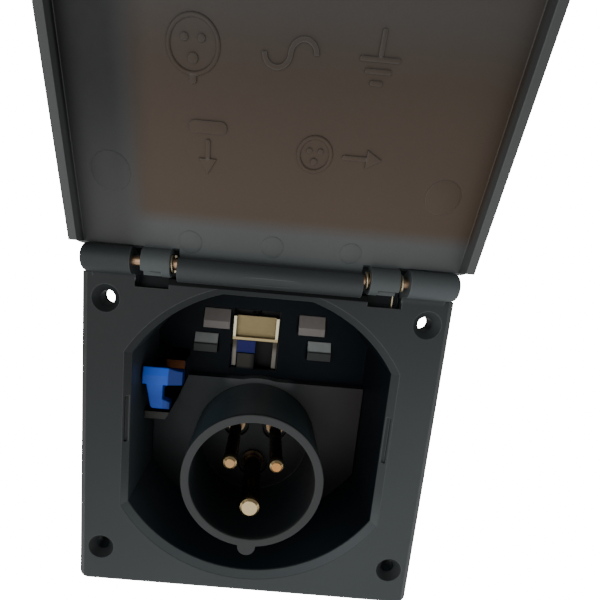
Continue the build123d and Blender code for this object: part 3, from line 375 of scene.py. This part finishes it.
housing_finish, shader, place, tone, edge = anthracite("anthracite_grained")
side, depth, height = axes(place)
# Painted light: lighter to the lower right than to the upper left, and lighter on the hinge barrels, most on
# the right.
painted_light_corner = ease(side * 0.55 - height, -80 * MM, 75 * MM) * 0.75 + 0.35
barrel = ease(height, hinge_axis.z - 5.2 * MM, hinge_axis.z - 3.6 * MM)
painted_barrel_light = ease(side, -60 * MM, 60 * MM) * 0.9 + 0.6
painted_light = painted_light_corner + barrel * (painted_barrel_light - painted_light_corner)
# Painted shadow: a dark band in the narrow gap under the hinge bar, used by the recess finish.
gap_shadow = ease(height, hinge_axis.z - 7.3 * MM, hinge_axis.z - 6.9 * MM)
gap_shadow = gap_shadow * ease(depth, flange_face + 6 * MM, flange_face + 4 * MM)
gap_shadow = gap_shadow * between(side, GAP_HALF, 0.5 * MM)
face_way = face_normal(place)
inward = along(face_way, (1, 0, 0)) * side + along(face_way, (0, 0, 1)) * height
# Painted highlight on the lower chamfer of the recess.
chamfer_highlight = ease(inward, -2 * MM, -8 * MM) * ease(depth, flange_face + 0.05 * MM, flange_face + 0.3 * MM)
off_side = place.node("ShaderNodeMath", {"operation": "ABSOLUTE"}, {0: side})
chamfer_highlight = chamfer_highlight * ease(off_side, CHAMFER_HALF + 0.5 * MM, CHAMFER_HALF - 0.5 * MM)
chamfer_highlight = chamfer_highlight * ease(height, -12 * MM, -38 * MM)
# Painted shade in the countersinks of the lower screws.
from_screw = squared(off_side - SCREW_SIDE) + squared(height - SCREW_LOW)
sink_shade = ease(from_screw, (SINK_R + 0.2 * MM) ** 2, (SINK_R - 0.2 * MM) ** 2)
sink_shade = sink_shade * ease(depth, flange_face, flange_face + 0.3 * MM)
painted_light = painted_light * (1.0 + 1.05 * chamfer_highlight) * (1.0 - 0.6 * sink_shade)
wall = shade(rgb(0.0555, 0.0645, 0.067), tone * painted_light)
fill_sockets(shader, {
    # Painted highlight along the edges.
    "Base Color": blend(edge * 0.5, wall, rgb(0.17, 0.18, 0.18)),
    "Roughness": 0.48 + 0.1 * noise(place, 3 * MM),
    "Specular IOR Level": 0.3,
    "Normal": grain_normal(place, 0.45 * MM, 0.35 * MM, 0.012 * MM),
})
print("housing graph", len(place.tree.nodes), "nodes")

# %% [markdown]
# The recess was polished in the mould and sees little light. It gets a shader of its own with weak gloss,
# and its shade is painted in: it is nearly black. A mask says where it takes over: deep faces that look
# towards the middle, the rear wall, and the narrow gap under the hinge bar, which gets a painted shadow.
# Its left wall and its lower wall are painted a little lighter, as painted light.

# %% Recess finish
# Painted shade: on these faces the nearly black recess shader takes over.
deep = ease(depth, flange_face + 2.1 * MM, flange_face + 3.2 * MM)
rear_wall = ease(along(face_way, (0, -1, 0)), 0.5, 0.9) * ease(depth, web_face - 8 * MM, web_face - 2 * MM)
inside = place.math("MAXIMUM", deep * ease(inward, 4 * MM, -4 * MM), rear_wall)
inside = place.math("MAXIMUM", inside, gap_shadow)
# Painted light and shade: each wall is lighter or darker by the way it faces.
right_wall = ease(along(face_way, (-1, 0, 0)), 0.4, 0.9)
left_wall = ease(along(face_way, (1, 0, 0)), 0.4, 0.9)
lower_wall = ease(along(face_way, (0, 0, 1)), 0.2, 0.7)
recess_shade = blend(lower_wall, rgb(0.004, 0.008, 0.012), rgb(0.022, 0.034, 0.044))
recess_shade = blend(right_wall, recess_shade, rgb(0.009, 0.013, 0.017))
recess_shade = blend(left_wall, recess_shade, rgb(0.05, 0.064, 0.072))
tongue = ease(side, latch_low.x + 1.5 * MM, latch_low.x + 2.5 * MM)
tongue = tongue * ease(side, latch_low.x + 10.5 * MM, latch_low.x + 7 * MM)
tongue = tongue * ease(height, latch_low.z - 0.5 * MM, latch_low.z + 1 * MM) * rear_wall
recess_shade = blend(tongue * ease(height, latch_high.z, latch_low.z + 6 * MM), recess_shade, rgb(0.085, 0.08, 0.07))
recess_shade = blend(gap_shadow, recess_shade, rgb(0.0015, 0.002, 0.0025))
recess = place.node("ShaderNodeBsdfPrincipled", {}, {
    "Base Color": shade(recess_shade, tone),
    "Roughness": 0.4 + 0.1 * noise(place, 3 * MM),
    "Specular IOR Level": 0.1,
    "Normal": soft_normal(place, 0.45 * MM),
})
both = place.node("ShaderNodeMixShader", {}, {0: inside, 1: Flow(place.tree, shader.outputs[0]), 2: recess})
place.tree.links.new(both.output, place.tree.nodes["Material Output"].inputs["Surface"])
dress(housing_finish, "housing", "rear_cover")

# %% [markdown]
# The lid's inside carries a painted reflection: a warm brown patch over its floor. Painted shade makes it
# cool and darker along its left side, a little darker towards its free end, and darker on the long bar,
# most of all at its foot. The parts of the hinge are slightly cooler.

# %% Lid finish
lid_finish, shader, place, tone, edge = anthracite("anthracite_lid")
lid_side = along(place, (1, 0, 0))
lid_run = along(place, lid_along, hinge_axis)
lid_rise = along(place, lid_inward, hinge_axis)
hollow = ease(lid_rise, 1.2 * MM, -1.0 * MM) * ease(lid_rise, -3.0 * MM, -2.2 * MM)
# Painted reflection: a warm brown patch over the lid's floor, fading towards its free end.
reflection_patch = hollow * ease(lid_run, 11 * MM, 17 * MM) * ease(lid_side, -44 * MM, -38 * MM)
reflection_patch = reflection_patch * (1.0 - 0.5 * ease(lid_run, 52 * MM, 72 * MM))
# Painted shade: cool and darker along the left side, darker towards the free end, and darker on the long
# bar, most at its foot.
left_side_shade = hollow * ease(lid_side, -34 * MM, -46 * MM)
far_shade = ease(lid_run, 10 * MM, 72 * MM)
bar = ease(lid_run, 4 * MM, 1 * MM) * between(lid_side, 29 * MM, 1 * MM)
bar_foot_shade = bar * ease(lid_run, -0.5 * MM, -3.5 * MM)
plain = tone * (1.0 - 0.4 * bar) * (1.0 - 0.35 * bar_foot_shade) * (1.0 - 0.3 * far_shade)
plain_colour = blend(ease(lid_run, 5.5 * MM, 4 * MM), rgb(0.09, 0.0935, 0.0935), rgb(0.078, 0.09, 0.092))
plain = shade(plain_colour, plain)
reflection_brown = shade(rgb(0.083, 0.058, 0.04), tone * (1.0 - 0.42 * far_shade))
colour = blend(reflection_patch, plain, reflection_brown)
far_left_shade = ease(lid_run, 12 * MM, 54 * MM)
colour = blend(left_side_shade * 0.9, colour, shade(rgb(0.05, 0.052, 0.05), tone * (1.0 - 0.85 * far_left_shade)))
fill_sockets(shader, {
    # Painted highlight along the edges.
    "Base Color": blend(edge * 0.4, colour, rgb(0.16, 0.17, 0.17)),
    "Roughness": 0.46 + 0.12 * noise(place, 3 * MM),
    "Specular IOR Level": 0.3,
    "Normal": grain_normal(place, 0.5 * MM, 0.35 * MM, 0.010 * MM),
})
dress(lid_finish, "lid")

# %% [markdown]
# ## Insert
# The plate, collar and key nose are a harder, smoother moulding, nearly black. Its right half is a little
# warmer. The collar's upper side has a painted bluish sheen, the arched top of the plate a painted
# highlight, and the front ring of the collar is painted lighter. Painted shade makes the plate darker
# inside the collar and further down. The ledge at its left has painted light on its front face and
# painted shade on its other faces. The terminal block behind it is the same stuff.

# %% Insert masks
insert_finish, shader, place = start_finish("insert_black")
edge = edge_mask(place, 0.45 * MM)
side, depth, height = axes(place)
face_way = face_normal(place)
faces_front = ease(along(face_way, (0, -1, 0)), 0.5, 0.9)
faces_up = ease(along(face_way, (0, 0, 1)), 0.2, 0.8)
# Painted light on the front ring of the collar.
front_ring_light = ease(depth, collar_mouth + 2.5 * MM, collar_mouth + 0.3 * MM)
# Painted sheen: the collar's upper side is a lighter bluish grey, while its bore wall stays dark.
collar_skin = faces_up * ease(depth, plate_face - 1 * MM, plate_face - 3 * MM)
collar_skin = collar_skin * ease(side, -31 * MM, -27 * MM)
from_axis = squared(side) + squared(height - COLLAR_AXIS)
bore_wall = ease(from_axis, (24 * MM) ** 2, (23 * MM) ** 2)
# Painted shade on the plate inside the collar and further down.
on_plate = faces_front * ease(depth, plate_face - 2 * MM, plate_face - 1 * MM)
bore_back_shade = on_plate * ease(from_axis, (23 * MM) ** 2, (21 * MM) ** 2)
low_plate_shade = on_plate * ease(height, -8 * MM, -32 * MM)
# Painted highlight on the arched top of the plate.
arch_highlight = between(side, 13.5 * MM, 2.5 * MM) * ease(height, PLATE_TOP - 5 * MM, PLATE_TOP + 0.5 * MM)
# Painted light on the ledge's front face, painted shade on its other faces.
ledge = ease(side, -30 * MM, -31.5 * MM) * ease(depth, plate_face - 3 * MM, plate_face - 6 * MM)
print("insert graph", len(place.tree.nodes), "nodes")

# %% Insert finish
tone = noise(place, 20 * MM, 1.0) * 0.3 + 0.85
colour = blend(ease(side, -10 * MM, 40 * MM), rgb(0.028, 0.037, 0.041), rgb(0.04, 0.035, 0.036))
collar_tone = blend(bore_wall, rgb(0.056, 0.088, 0.102), rgb(0.02, 0.027, 0.032))
colour = blend(collar_skin, colour, collar_tone)
colour = shade(colour, (1.0 - 0.65 * bore_back_shade) * (1.0 - 0.75 * low_plate_shade))
colour = blend(arch_highlight * 0.9, colour, rgb(0.125, 0.133, 0.136))
colour = blend(ledge * (1.0 - faces_front), colour, rgb(0.006, 0.007, 0.008))
colour = blend(ledge * faces_front, colour, rgb(0.044, 0.045, 0.04))
colour = shade(blend(front_ring_light, colour, rgb(0.045, 0.049, 0.05)), tone)
fill_sockets(shader, {
    # Painted highlight along the edges.
    "Base Color": blend(edge * 0.25, colour, rgb(0.16, 0.16, 0.15)),
    "Roughness": 0.38 + 0.12 * noise(place, 2.5 * MM),
    "Specular IOR Level": 0.35,
    "Normal": grain_normal(place, 0.4 * MM, 0.4 * MM, 0.008 * MM),
})
dress(insert_finish, "connector_insert", "terminal_block")

# %% [markdown]
# ## Latch carrier
# Only the carrier's four snap hooks show. They are a grey-brown moulding. Painted light makes the lower
# pair lighter, and painted shade makes them nearly black at their feet and behind the rear wall.

# %% Carrier finish
BETWEEN_HOOKS = 29.0 * MM
HOOK_FOOT = 24.3 * MM
carrier_finish, shader, place = start_finish("carrier_grey")
edge = edge_mask(place, 0.3 * MM)
height = along(place, (0, 0, 1))
# Painted light on the lower pair, painted shadow at the hooks' feet and behind the rear wall.
lower_pair_light = ease(height, BETWEEN_HOOKS + 0.5 * MM, BETWEEN_HOOKS - 0.5 * MM)
foot_shadow = ease(height, HOOK_FOOT + 0.3 * MM, HOOK_FOOT - 0.3 * MM)
colour = blend(lower_pair_light, rgb(0.28, 0.252, 0.238), rgb(0.38, 0.41, 0.4))
colour = blend(foot_shadow, colour, rgb(0.03, 0.033, 0.032))
behind_shade = ease(along(place, (0, 1, 0)), web_face - 0.4 * MM, web_face + 0.6 * MM)
colour = blend(behind_shade, colour, rgb(0.004, 0.004, 0.005))
fill_sockets(shader, {
    # Painted highlight along the edges.
    "Base Color": blend(edge * 0.4, shade(colour, noise(place, 3 * MM) * 0.3 + 0.85), rgb(0.3, 0.29, 0.28)),
    "Roughness": 0.45 + 0.1 * noise(place, 1.5 * MM),
    "Normal": grain_normal(place, 0.3 * MM, 0.4 * MM, 0.006 * MM),
})
dress(carrier_finish, "latch_carrier")

# %% [markdown]
# ## Release lever
# The lever is a glossy blue moulding, and a faint flow mark runs through it, as in most small mouldings.
# Faces that lean upwards are painted brighter, as painted light. Painted shade makes the leg, its toe, the
# cheek on the right and everything towards the rear a deeper blue.

# %% Lever finish
HANDLE_W = 9.0 * MM
lever_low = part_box("release_lever")[0]
handle_right = lever_low.x + HANDLE_W
lever_finish, shader, place = start_finish("lever_blue")
edge = edge_mask(place, 0.35 * MM)
side, depth, height = axes(place)
flow = place.node("ShaderNodeTexWave", {"wave_type": "BANDS", "bands_direction": "DIAGONAL"},
                  {"Vector": place, "Scale": 90.0, "Distortion": 6.0, "Detail": 2.0})
colour = blend(flow * 0.35, rgb(0.02, 0.12, 0.72), rgb(0.03, 0.15, 0.8))
# Painted light on faces that lean upwards.
leaning_light = ease(along(face_normal(place), (0, 0, 1)), 0.15, 0.35)
colour = blend(leaning_light, colour, rgb(0.004, 0.13, 0.9))
# Painted shade on the leg, its toe, the cheek and everything towards the rear.
leg = ease(height, lever_low.z + 9.4 * MM, lever_low.z + 4 * MM)
colour = blend(leg * 0.7, colour, rgb(0.003, 0.06, 0.46))
toe_shade = leg * ease(side, handle_right - 1.6 * MM, handle_right - 1.0 * MM)
colour = blend(toe_shade * 0.6, colour, rgb(0.002, 0.035, 0.27))
cheek_shade = ease(side, handle_right + 0.1 * MM, handle_right + 0.6 * MM)
colour = blend(cheek_shade * 0.95, colour, rgb(0.002, 0.028, 0.22))
rear = ease(depth, flange_face + 24 * MM, flange_face + 36 * MM)
colour = blend(rear, colour, rgb(0.0, 0.003, 0.2))
fill_sockets(shader, {
    # Painted highlight along the edges.
    "Base Color": blend(edge * 0.35, colour, rgb(0.05, 0.22, 0.74)),
    "Roughness": 0.36 + 0.1 * noise(place, 2 * MM),
    "Specular IOR Level": 0.35,
    "Normal": grain_normal(place, 0.3 * MM, 0.5 * MM, 0.006 * MM),
})
dress(lever_finish, "release_lever")

# %% [markdown]
# ## Contact pins
# The pins are turned brass. A lathe leaves fine rings round the axis of each pin on its end face, so each
# pin gets its own finish, with rings centred on that pin: the distance from its axis runs through a sine.
# The sides are painted dark, as painted shade. Each end face has its own tone, a painted reflection, and
# each root has its own tone too: a painted glint on the live pins and painted shade on the earth pin.

# %% Pin finishes
RING_PITCH = 0.28 * MM


def turned_brass(name, end_reflection, root_light):
    """Brass with lathe rings round one pin, painted shade on its sides, painted light on end and root."""
    material, shader, place = start_finish(name + "_brass")
    low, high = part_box(name)
    axis = ((low.x + high.x) / 2, 0.0, (low.z + high.z) / 2)
    flat = place.node("ShaderNodeVectorMath", {"operation": "MULTIPLY"}, {0: place, 1: (1, 0, 1)})
    radius = place.node("ShaderNodeVectorMath", {"operation": "DISTANCE"}, {0: flat, 1: axis},
                        output="Value")
    rings = place.node("ShaderNodeMath", {"operation": "SINE"}, {0: radius * (2 * pi / RING_PITCH)})
    stain = noise(place, 4 * MM, 3.0)
    depth = along(place, (0, 1, 0))
    face = ease(depth, low.y + 0.25 * MM, low.y + 0.05 * MM)
    colour = blend(stain, rgb(0.83, 0.64, 0.33), rgb(0.7, 0.5, 0.24))
    # Painted shade on the sides of the pin.
    shaft_shade = ease(depth, low.y + 1.0 * MM, low.y + 4.0 * MM)
    shaft_shade = shaft_shade * ease(depth, plate_face + 0.5 * MM, plate_face - 4 * MM)
    colour = blend(shaft_shade, colour, rgb(0.09, 0.06, 0.03))
    # Painted light at the root of the pin.
    root = ease(depth, plate_face - 1 * MM, plate_face + 1 * MM)
    colour = blend(root, colour, root_light)
    # Painted reflection on the end face.
    colour = blend(face, colour, end_reflection)
    fill_sockets(shader, {
        "Base Color": colour,
        "Metallic": 1.0,
        "Roughness": 0.2 + 0.16 * stain,
        "Normal": place.node("ShaderNodeBump", {}, {"Strength": 0.35, "Distance": 0.02 * MM, "Height": rings,
                                                     "Normal": soft_normal(place, 0.25 * MM)}),
    })
    dress(material, name)


# Painted glint at the roots of the live pins, painted shade at the root of the earth pin.
LIVE_ROOT_GLINT = rgb(0.36, 0.25, 0.15)
EARTH_ROOT_SHADE = rgb(0.05, 0.036, 0.024)
turned_brass("phase_pin_left", rgb(0.52, 0.32, 0.15), LIVE_ROOT_GLINT)
turned_brass("phase_pin_right", rgb(0.62, 0.3, 0.11), LIVE_ROOT_GLINT)
turned_brass("earth_pin", rgb(0.74, 0.58, 0.33), EARTH_ROOT_SHADE)

# %% [markdown]
# ## Latch, springs and pins of steel and bronze
# The latch is zinc-plated sheet with a yellow passivation: its flat is a dull gold, and its bent edges
# carry a painted highlight, weaker on the lower lip. Its legs get painted shade at the top and painted
# light at the foot. The edges of all these metals are painted lighter as well, a painted highlight. Rolled
# and drawn metal carries streaks along its length, which is a noise stretched one way. The coil above the
# latch and the lever's pivot pin are dark, oiled steel.

# %% Latch finish
ROLLED = (0.15, 1, 1)


def metal(name, first, second, roughness, stretch, edge_highlight, *dressed):
    """Rolled or drawn metal: two tones in streaks along one axis, and edges with a painted highlight."""
    material, shader, place = start_finish(name)
    streak_place = place.node("ShaderNodeMapping", {}, {"Vector": place, "Scale": stretch})
    streak = noise(streak_place, 0.6 * MM, 4.0)
    tarnish = noise(place, 5 * MM, 3.0)
    colour = blend(streak * 0.6 + tarnish * 0.4, first, second)
    fill_sockets(shader, {
        # Painted highlight along the edges.
        "Base Color": blend(edge_mask(place, 0.25 * MM) * 0.6, colour, edge_highlight),
        "Metallic": 1.0,
        "Roughness": roughness + 0.18 * streak,
        "Normal": place.node("ShaderNodeBump", {}, {"Strength": 0.3, "Distance": 0.02 * MM, "Height": streak,
                                                     "Normal": soft_normal(place, 0.2 * MM)}),
    })
    dress(material, *dressed)
    return shader, place, colour


shader, place, colour = metal(
    "latch_yellow_zinc", rgb(0.38, 0.305, 0.16), rgb(0.3, 0.24, 0.13), 0.38, ROLLED,
    rgb(0.95, 0.9, 0.72), "latch_plate")
height = along(place, (0, 0, 1))
depth = along(place, (0, 1, 0))
leg = ease(height, latch_low.z + 11.9 * MM, latch_low.z + 11.2 * MM)
bent_edge_highlight = ease(depth, latch_low.y + 1.2 * MM, latch_low.y + 0.3 * MM)
# Painted shade at the top of the legs and painted light at their foot.
leg_light_and_shade = blend(ease(height, latch_low.z + 10 * MM, latch_low.z + 6 * MM),
                 rgb(0.09, 0.085, 0.075), rgb(0.3, 0.29, 0.26))
colour = blend(leg * 0.9, colour, leg_light_and_shade)
# Painted highlight on the bent edges, weaker on the lower lip.
low_lip = ease(height, latch_low.z + 13.6 * MM, latch_low.z + 13.0 * MM)
lip_highlight = blend(low_lip, rgb(1.0, 0.93, 0.66), rgb(0.62, 0.5, 0.27))
fill_sockets(shader, {"Base Color": blend(bent_edge_highlight * (1.0 - leg), colour, lip_highlight)})

# %% Finishes of springs and fasteners
DRAWN = (0.1, 1, 1)
EVEN = (1, 1, 1)
shader, place, colour = metal(
    "leaf_bronze", rgb(0.2, 0.075, 0.028), rgb(0.13, 0.05, 0.024), 0.42, ROLLED,
    rgb(0.28, 0.13, 0.06), "lever_spring")
unlit = ease(along(place, (0, 1, 0)), plate_face - 7.2 * MM, plate_face - 6.4 * MM)
fill_sockets(shader, {"Base Color": blend(unlit, colour, rgb(0.008, 0.005, 0.004))})
metal("hinge_copper", rgb(0.6, 0.4, 0.26), rgb(0.46, 0.3, 0.18), 0.3, DRAWN,
      rgb(0.8, 0.62, 0.46), "hinge_pin")
metal("spring_wire", rgb(0.75, 0.66, 0.45), rgb(0.58, 0.5, 0.34), 0.3, EVEN,
      rgb(0.9, 0.85, 0.7), "torsion_spring_left", "torsion_spring_right")
metal("oiled_steel", rgb(0.035, 0.033, 0.03), rgb(0.02, 0.019, 0.018), 0.4, EVEN,
      rgb(0.06, 0.058, 0.055), "latch_spring", "lever_pivot_pin")
metal("screw_zinc", rgb(0.62, 0.62, 0.6), rgb(0.5, 0.5, 0.49), 0.3, EVEN,
      rgb(0.85, 0.85, 0.83), "terminal_screws", "block_screws", "insert_screws", "cover_screws")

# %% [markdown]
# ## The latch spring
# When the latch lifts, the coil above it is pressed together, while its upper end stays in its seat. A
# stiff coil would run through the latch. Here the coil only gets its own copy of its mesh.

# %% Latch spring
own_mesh(nodes["latch_spring"])

# %% [markdown]
# ## Rubber and gland plastic
# The gaskets are black rubber with a chalky bloom. The cable gland at the rear is a satin black moulding
# with a fine grain.

# %% Rubber and gland finishes
rubber_finish, shader, place = start_finish("gasket_rubber")
bloom = noise(place, 6 * MM, 4.0)
fill_sockets(shader, {
    "Base Color": blend(bloom, rgb(0.012, 0.012, 0.012), rgb(0.035, 0.035, 0.034)),
    "Roughness": 0.75 + 0.15 * bloom,
    "Normal": grain_normal(place, 0.3 * MM, 0.6 * MM, 0.02 * MM),
})
dress(rubber_finish, "flange_gasket", "cover_seal", "gland_seal")

gland_finish, shader, place = start_finish("gland_black")
edge = edge_mask(place, 0.5 * MM)
tone = noise(place, 12 * MM, 2.0) * 0.3 + 0.85
fill_sockets(shader, {
    # Painted highlight along the edges.
    "Base Color": blend(edge * 0.35, shade(rgb(0.034, 0.036, 0.038), tone), rgb(0.16, 0.16, 0.16)),
    "Roughness": 0.42 + 0.12 * noise(place, 2 * MM),
    "Normal": grain_normal(place, 0.5 * MM, 0.4 * MM, 0.012 * MM),
})
dress(gland_finish, "gland_body", "gland_nut", "gland_locknut")

# %% [markdown]
# ## Ejector marks in the lid
# Ejector pins push a moulding out of its mould and leave round marks. On the lid's floor they are shallow
# discs with a soft edge. A cylinder is added at its size, its upper edge is bevelled, and its place on the
# leaning lid goes into the mesh, so that the object itself stays at the origin.

# %% Tools for pieces on the lid
LID_FLOOR_RISE = -1.8 * MM
TOP_NORMAL = 0.9
SMOOTH_ANGLE = radians(30)
lid_turn = Matrix((Vector((1, 0, 0)), lid_along, lid_inward)).transposed().to_4x4()


def soften_top(piece, offset):
    """Bevel the edge round the top face of a piece."""
    bpy.ops.object.mode_set(mode="EDIT")
    bpy.ops.mesh.select_mode(type="FACE")
    bpy.ops.mesh.select_all(action="DESELECT")
    bpy.ops.object.mode_set(mode="OBJECT")
    for face in piece.data.polygons:
        face.select = face.normal.z > TOP_NORMAL
    bpy.ops.object.mode_set(mode="EDIT")
    bpy.ops.mesh.bevel(offset=offset, segments=2, affect="EDGES")
    bpy.ops.object.mode_set(mode="OBJECT")
    return piece


def on_lid(across, run, rise):
    """The matrix that takes a piece from the origin to its place on the leaning lid."""
    spot = hinge_axis + Vector((across, 0, 0)) + lid_along * run + lid_inward * rise
    return Matrix.Translation(spot) @ lid_turn


def settle(piece, matrix, body, material):
    """Put a finished piece's place into its mesh, give it its finish and let it ride on its body."""
    piece.data.transform(matrix @ piece.matrix_world)
    piece.matrix_world = Matrix.Identity(4)
    piece.data.update()
    piece.data.materials.clear()
    piece.data.materials.append(material)
    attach(piece, body)


print("lid leans", round(180 - hinge["range_deg"][1], 1), "degrees from the wall")

# %% Ejector marks
MARK_HEIGHT = 0.12 * MM
MARK_ROOT = 0.4 * MM
MARK_BEVEL = 0.1 * MM


def ejector_mark(number, across, run, radius):
    """One round mark on the lid's floor."""
    bpy.ops.object.select_all(action="DESELECT")
    bpy.ops.mesh.primitive_cylinder_add(vertices=64, radius=radius, depth=MARK_HEIGHT + MARK_ROOT)
    mark = bpy.context.object
    mark.name = f"ejector_mark_{number}"
    soften_top(mark, MARK_BEVEL)
    bpy.ops.object.shade_smooth_by_angle(angle=SMOOTH_ANGLE)
    rise = LID_FLOOR_RISE + (MARK_HEIGHT - MARK_ROOT) / 2
    settle(mark, on_lid(across, run, rise), "lid", lid_finish)


# across, run and radius in millimetres
MARKS = ((-47.3, 25.9, 5.6), (46.5, 26.5, 5.0), (-25.0, 6.8, 3.6), (-0.1, 7.4, 3.4), (23.7, 7.5, 3.3))
for number, (across, run, radius) in enumerate(MARKS, 1):
    ejector_mark(number, across * MM, run * MM, radius * MM)
print("ejector marks", len(MARKS))

# %% [markdown]
# ## Raised signs in the lid
# The lid's inside tells the user how the inlet works, so it gets a few plain signs in low relief: the face
# of a three-pin connector, a wave for alternating current, an earth sign, and two arrows that mean press
# the lever and pull the connector out. They could be cut in a texture, but then the lid's mesh would stay
# flat. Here each stroke is a small solid whose upper edge is bevelled, and the strokes of one sign are
# joined.

# %% Strips and discs
SIGN_HEIGHT = 0.5 * MM
SIGN_ROOT = 0.4 * MM
SIGN_DEPTH = SIGN_HEIGHT + SIGN_ROOT
SIGN_BEVEL = 0.14 * MM
STROKE = 1.2 * MM
END_ROUND = 0.46


def select_upright_edges(mesh):
    """In edit mode: select the edges that run from the foot of a stroke to its top."""
    bpy.ops.mesh.select_all(action="DESELECT")
    bpy.ops.object.mode_set(mode="OBJECT")
    for edge in mesh.edges:
        start, end = (mesh.vertices[index].co for index in edge.vertices)
        edge.select = abs(start.z - end.z) > SIGN_DEPTH / 2
    bpy.ops.object.mode_set(mode="EDIT")


def strip(x, u, length, turn=0.0, width=STROKE):
    """A bar with round ends, its middle at (x, u) and turned in the lid's plane."""
    bpy.ops.object.select_all(action="DESELECT")
    bpy.ops.mesh.primitive_cube_add(size=width)
    piece = bpy.context.object
    bpy.ops.object.mode_set(mode="EDIT")
    bpy.ops.mesh.select_all(action="SELECT")
    bpy.ops.transform.resize(value=(length / width, 1, SIGN_DEPTH / width))
    bpy.ops.mesh.select_mode(type="EDGE")
    select_upright_edges(piece.data)
    bpy.ops.mesh.bevel(offset=END_ROUND * width, segments=5, affect="EDGES")
    bpy.ops.object.mode_set(mode="OBJECT")
    piece.matrix_world = Matrix.Translation((x, u, 0)) @ Matrix.Rotation(turn, 4, "Z")
    return soften_top(piece, SIGN_BEVEL)


def dot(x, u, radius, sides=32, turn=0.0):
    """A disc, or with three sides the head of an arrow."""
    bpy.ops.object.select_all(action="DESELECT")
    bpy.ops.mesh.primitive_cylinder_add(vertices=sides, radius=radius, depth=SIGN_DEPTH, location=(x, u, 0),
                                        rotation=(0, 0, turn))
    return soften_top(bpy.context.object, SIGN_BEVEL)


print("strokes", round(SIGN_HEIGHT / MM, 2), "mm high")

# %% [markdown]
# Round strokes come from other tools. A torus gives a bead, and a face that is spun gives a bent bar.

# %% Rings, waves and arrows
RING_CUT = -0.2 * MM
WELD = 0.01 * MM
HEAD_R = 2.8 * MM


def ring(x, u, radius):
    """A round bead: a torus made flatter and cut off below the lid's floor."""
    bpy.ops.object.select_all(action="DESELECT")
    bpy.ops.mesh.primitive_torus_add(major_radius=radius, minor_radius=STROKE / 2, major_segments=64,
                                     minor_segments=12, location=(x, u, 0))
    piece = bpy.context.object
    bpy.ops.object.mode_set(mode="EDIT")
    bpy.ops.mesh.select_all(action="SELECT")
    bpy.ops.transform.resize(value=(1, 1, SIGN_DEPTH / STROKE))
    bpy.ops.mesh.bisect(plane_co=(x, u, RING_CUT), plane_no=(0, 0, 1), use_fill=True, clear_inner=True)
    bpy.ops.object.mode_set(mode="OBJECT")
    return piece


def wave(x, u, reach):
    """Two half circles in one stroke: a small face is spun round one centre and then back round the next."""
    bpy.ops.object.select_all(action="DESELECT")
    bpy.ops.mesh.primitive_plane_add(size=STROKE, location=(x - 2 * reach, u, 0), rotation=(pi / 2, 0, 0))
    piece = bpy.context.object
    bpy.ops.object.transform_apply(location=True, rotation=True, scale=True)
    bpy.ops.object.mode_set(mode="EDIT")
    bpy.ops.mesh.select_all(action="SELECT")
    bpy.ops.transform.resize(value=(1, 1, SIGN_DEPTH / STROKE))
    bpy.ops.mesh.spin(steps=16, angle=-pi, center=(x - reach, u, 0), axis=(0, 0, 1))
    bpy.ops.mesh.spin(steps=16, angle=pi, center=(x + reach, u, 0), axis=(0, 0, 1))
    bpy.ops.mesh.select_all(action="SELECT")
    bpy.ops.mesh.remove_doubles(threshold=WELD)
    bpy.ops.mesh.normals_make_consistent(inside=False)
    bpy.ops.object.mode_set(mode="OBJECT")
    return piece


def arrow(x, u, length, turn):
    """A stroke with a head at its end. Turn 0 points right."""
    way = Vector((cos(turn), sin(turn)))
    middle = Vector((x, u))
    head = middle + way * length / 2
    under_head = 0.4 * HEAD_R
    shaft = middle - way * under_head / 2
    stroke = strip(shaft.x, shaft.y, length - under_head, turn)
    return [stroke, dot(head.x, head.y, HEAD_R, 3, turn - pi / 2)]


print("arrow heads", round(HEAD_R / MM, 2), "mm in radius")

# %% [markdown]
# Each sign is laid out round its own middle, in millimetres across and along the lid. Joining its strokes
# gives one object, and only then does it go to its place on the leaning lid.

# %% Signs
UPPER_ROW = 58
LOWER_ROW = 35


def lid_sign(name, across, run, strokes):
    """Join the strokes of one sign and put it on the lid's floor."""
    bpy.ops.object.select_all(action="DESELECT")
    for stroke in strokes:
        stroke.select_set(True)
    sign = strokes[0]
    bpy.context.view_layer.objects.active = sign
    bpy.ops.object.join()
    bpy.ops.object.transform_apply(location=True, rotation=True, scale=True)
    bpy.ops.object.shade_smooth_by_angle(angle=SMOOTH_ANGLE)
    sign.name = name
    rise = LID_FLOOR_RISE + (SIGN_HEIGHT - SIGN_ROOT) / 2
    place = on_lid(across * MM, run * MM, rise)
    settle(sign, place, "lid", lid_finish)
    print(name, "strokes", len(strokes), "faces", len(sign.data.polygons))


lid_sign("connector_sign", -24, UPPER_ROW, [
    ring(0, 0, 6.2 * MM), strip(0, -7.4 * MM, 2.2 * MM, pi / 2, 1.8 * MM),
    dot(-2.1 * MM, 1.6 * MM, 0.9 * MM), dot(2.1 * MM, 1.6 * MM, 0.9 * MM), dot(0, -2.8 * MM, 1.25 * MM)])
lid_sign("wave_sign", 0, UPPER_ROW, [wave(0, 0, 3.2 * MM)])
lid_sign("earth_sign", 22, UPPER_ROW, [
    strip(0, 3.9 * MM, 6.0 * MM, pi / 2), strip(0, 0.4 * MM, 10 * MM),
    strip(0, -2.2 * MM, 6.6 * MM), strip(0, -4.8 * MM, 3.2 * MM)])
lid_sign("press_sign", -20, LOWER_ROW, [
    strip(0, 4.6 * MM, 10 * MM, 0.0, 3.2 * MM)] + arrow(0, -1.6 * MM, 6.4 * MM, -pi / 2))
lid_sign("pull_sign", 14, LOWER_ROW, [
    ring(-5 * MM, 0, 4.4 * MM), dot(-6.5 * MM, 1.0 * MM, 0.7 * MM), dot(-3.5 * MM, 1.0 * MM, 0.7 * MM),
    dot(-5 * MM, -1.8 * MM, 0.9 * MM)] + arrow(6.5 * MM, 0, 8 * MM, 0.0))
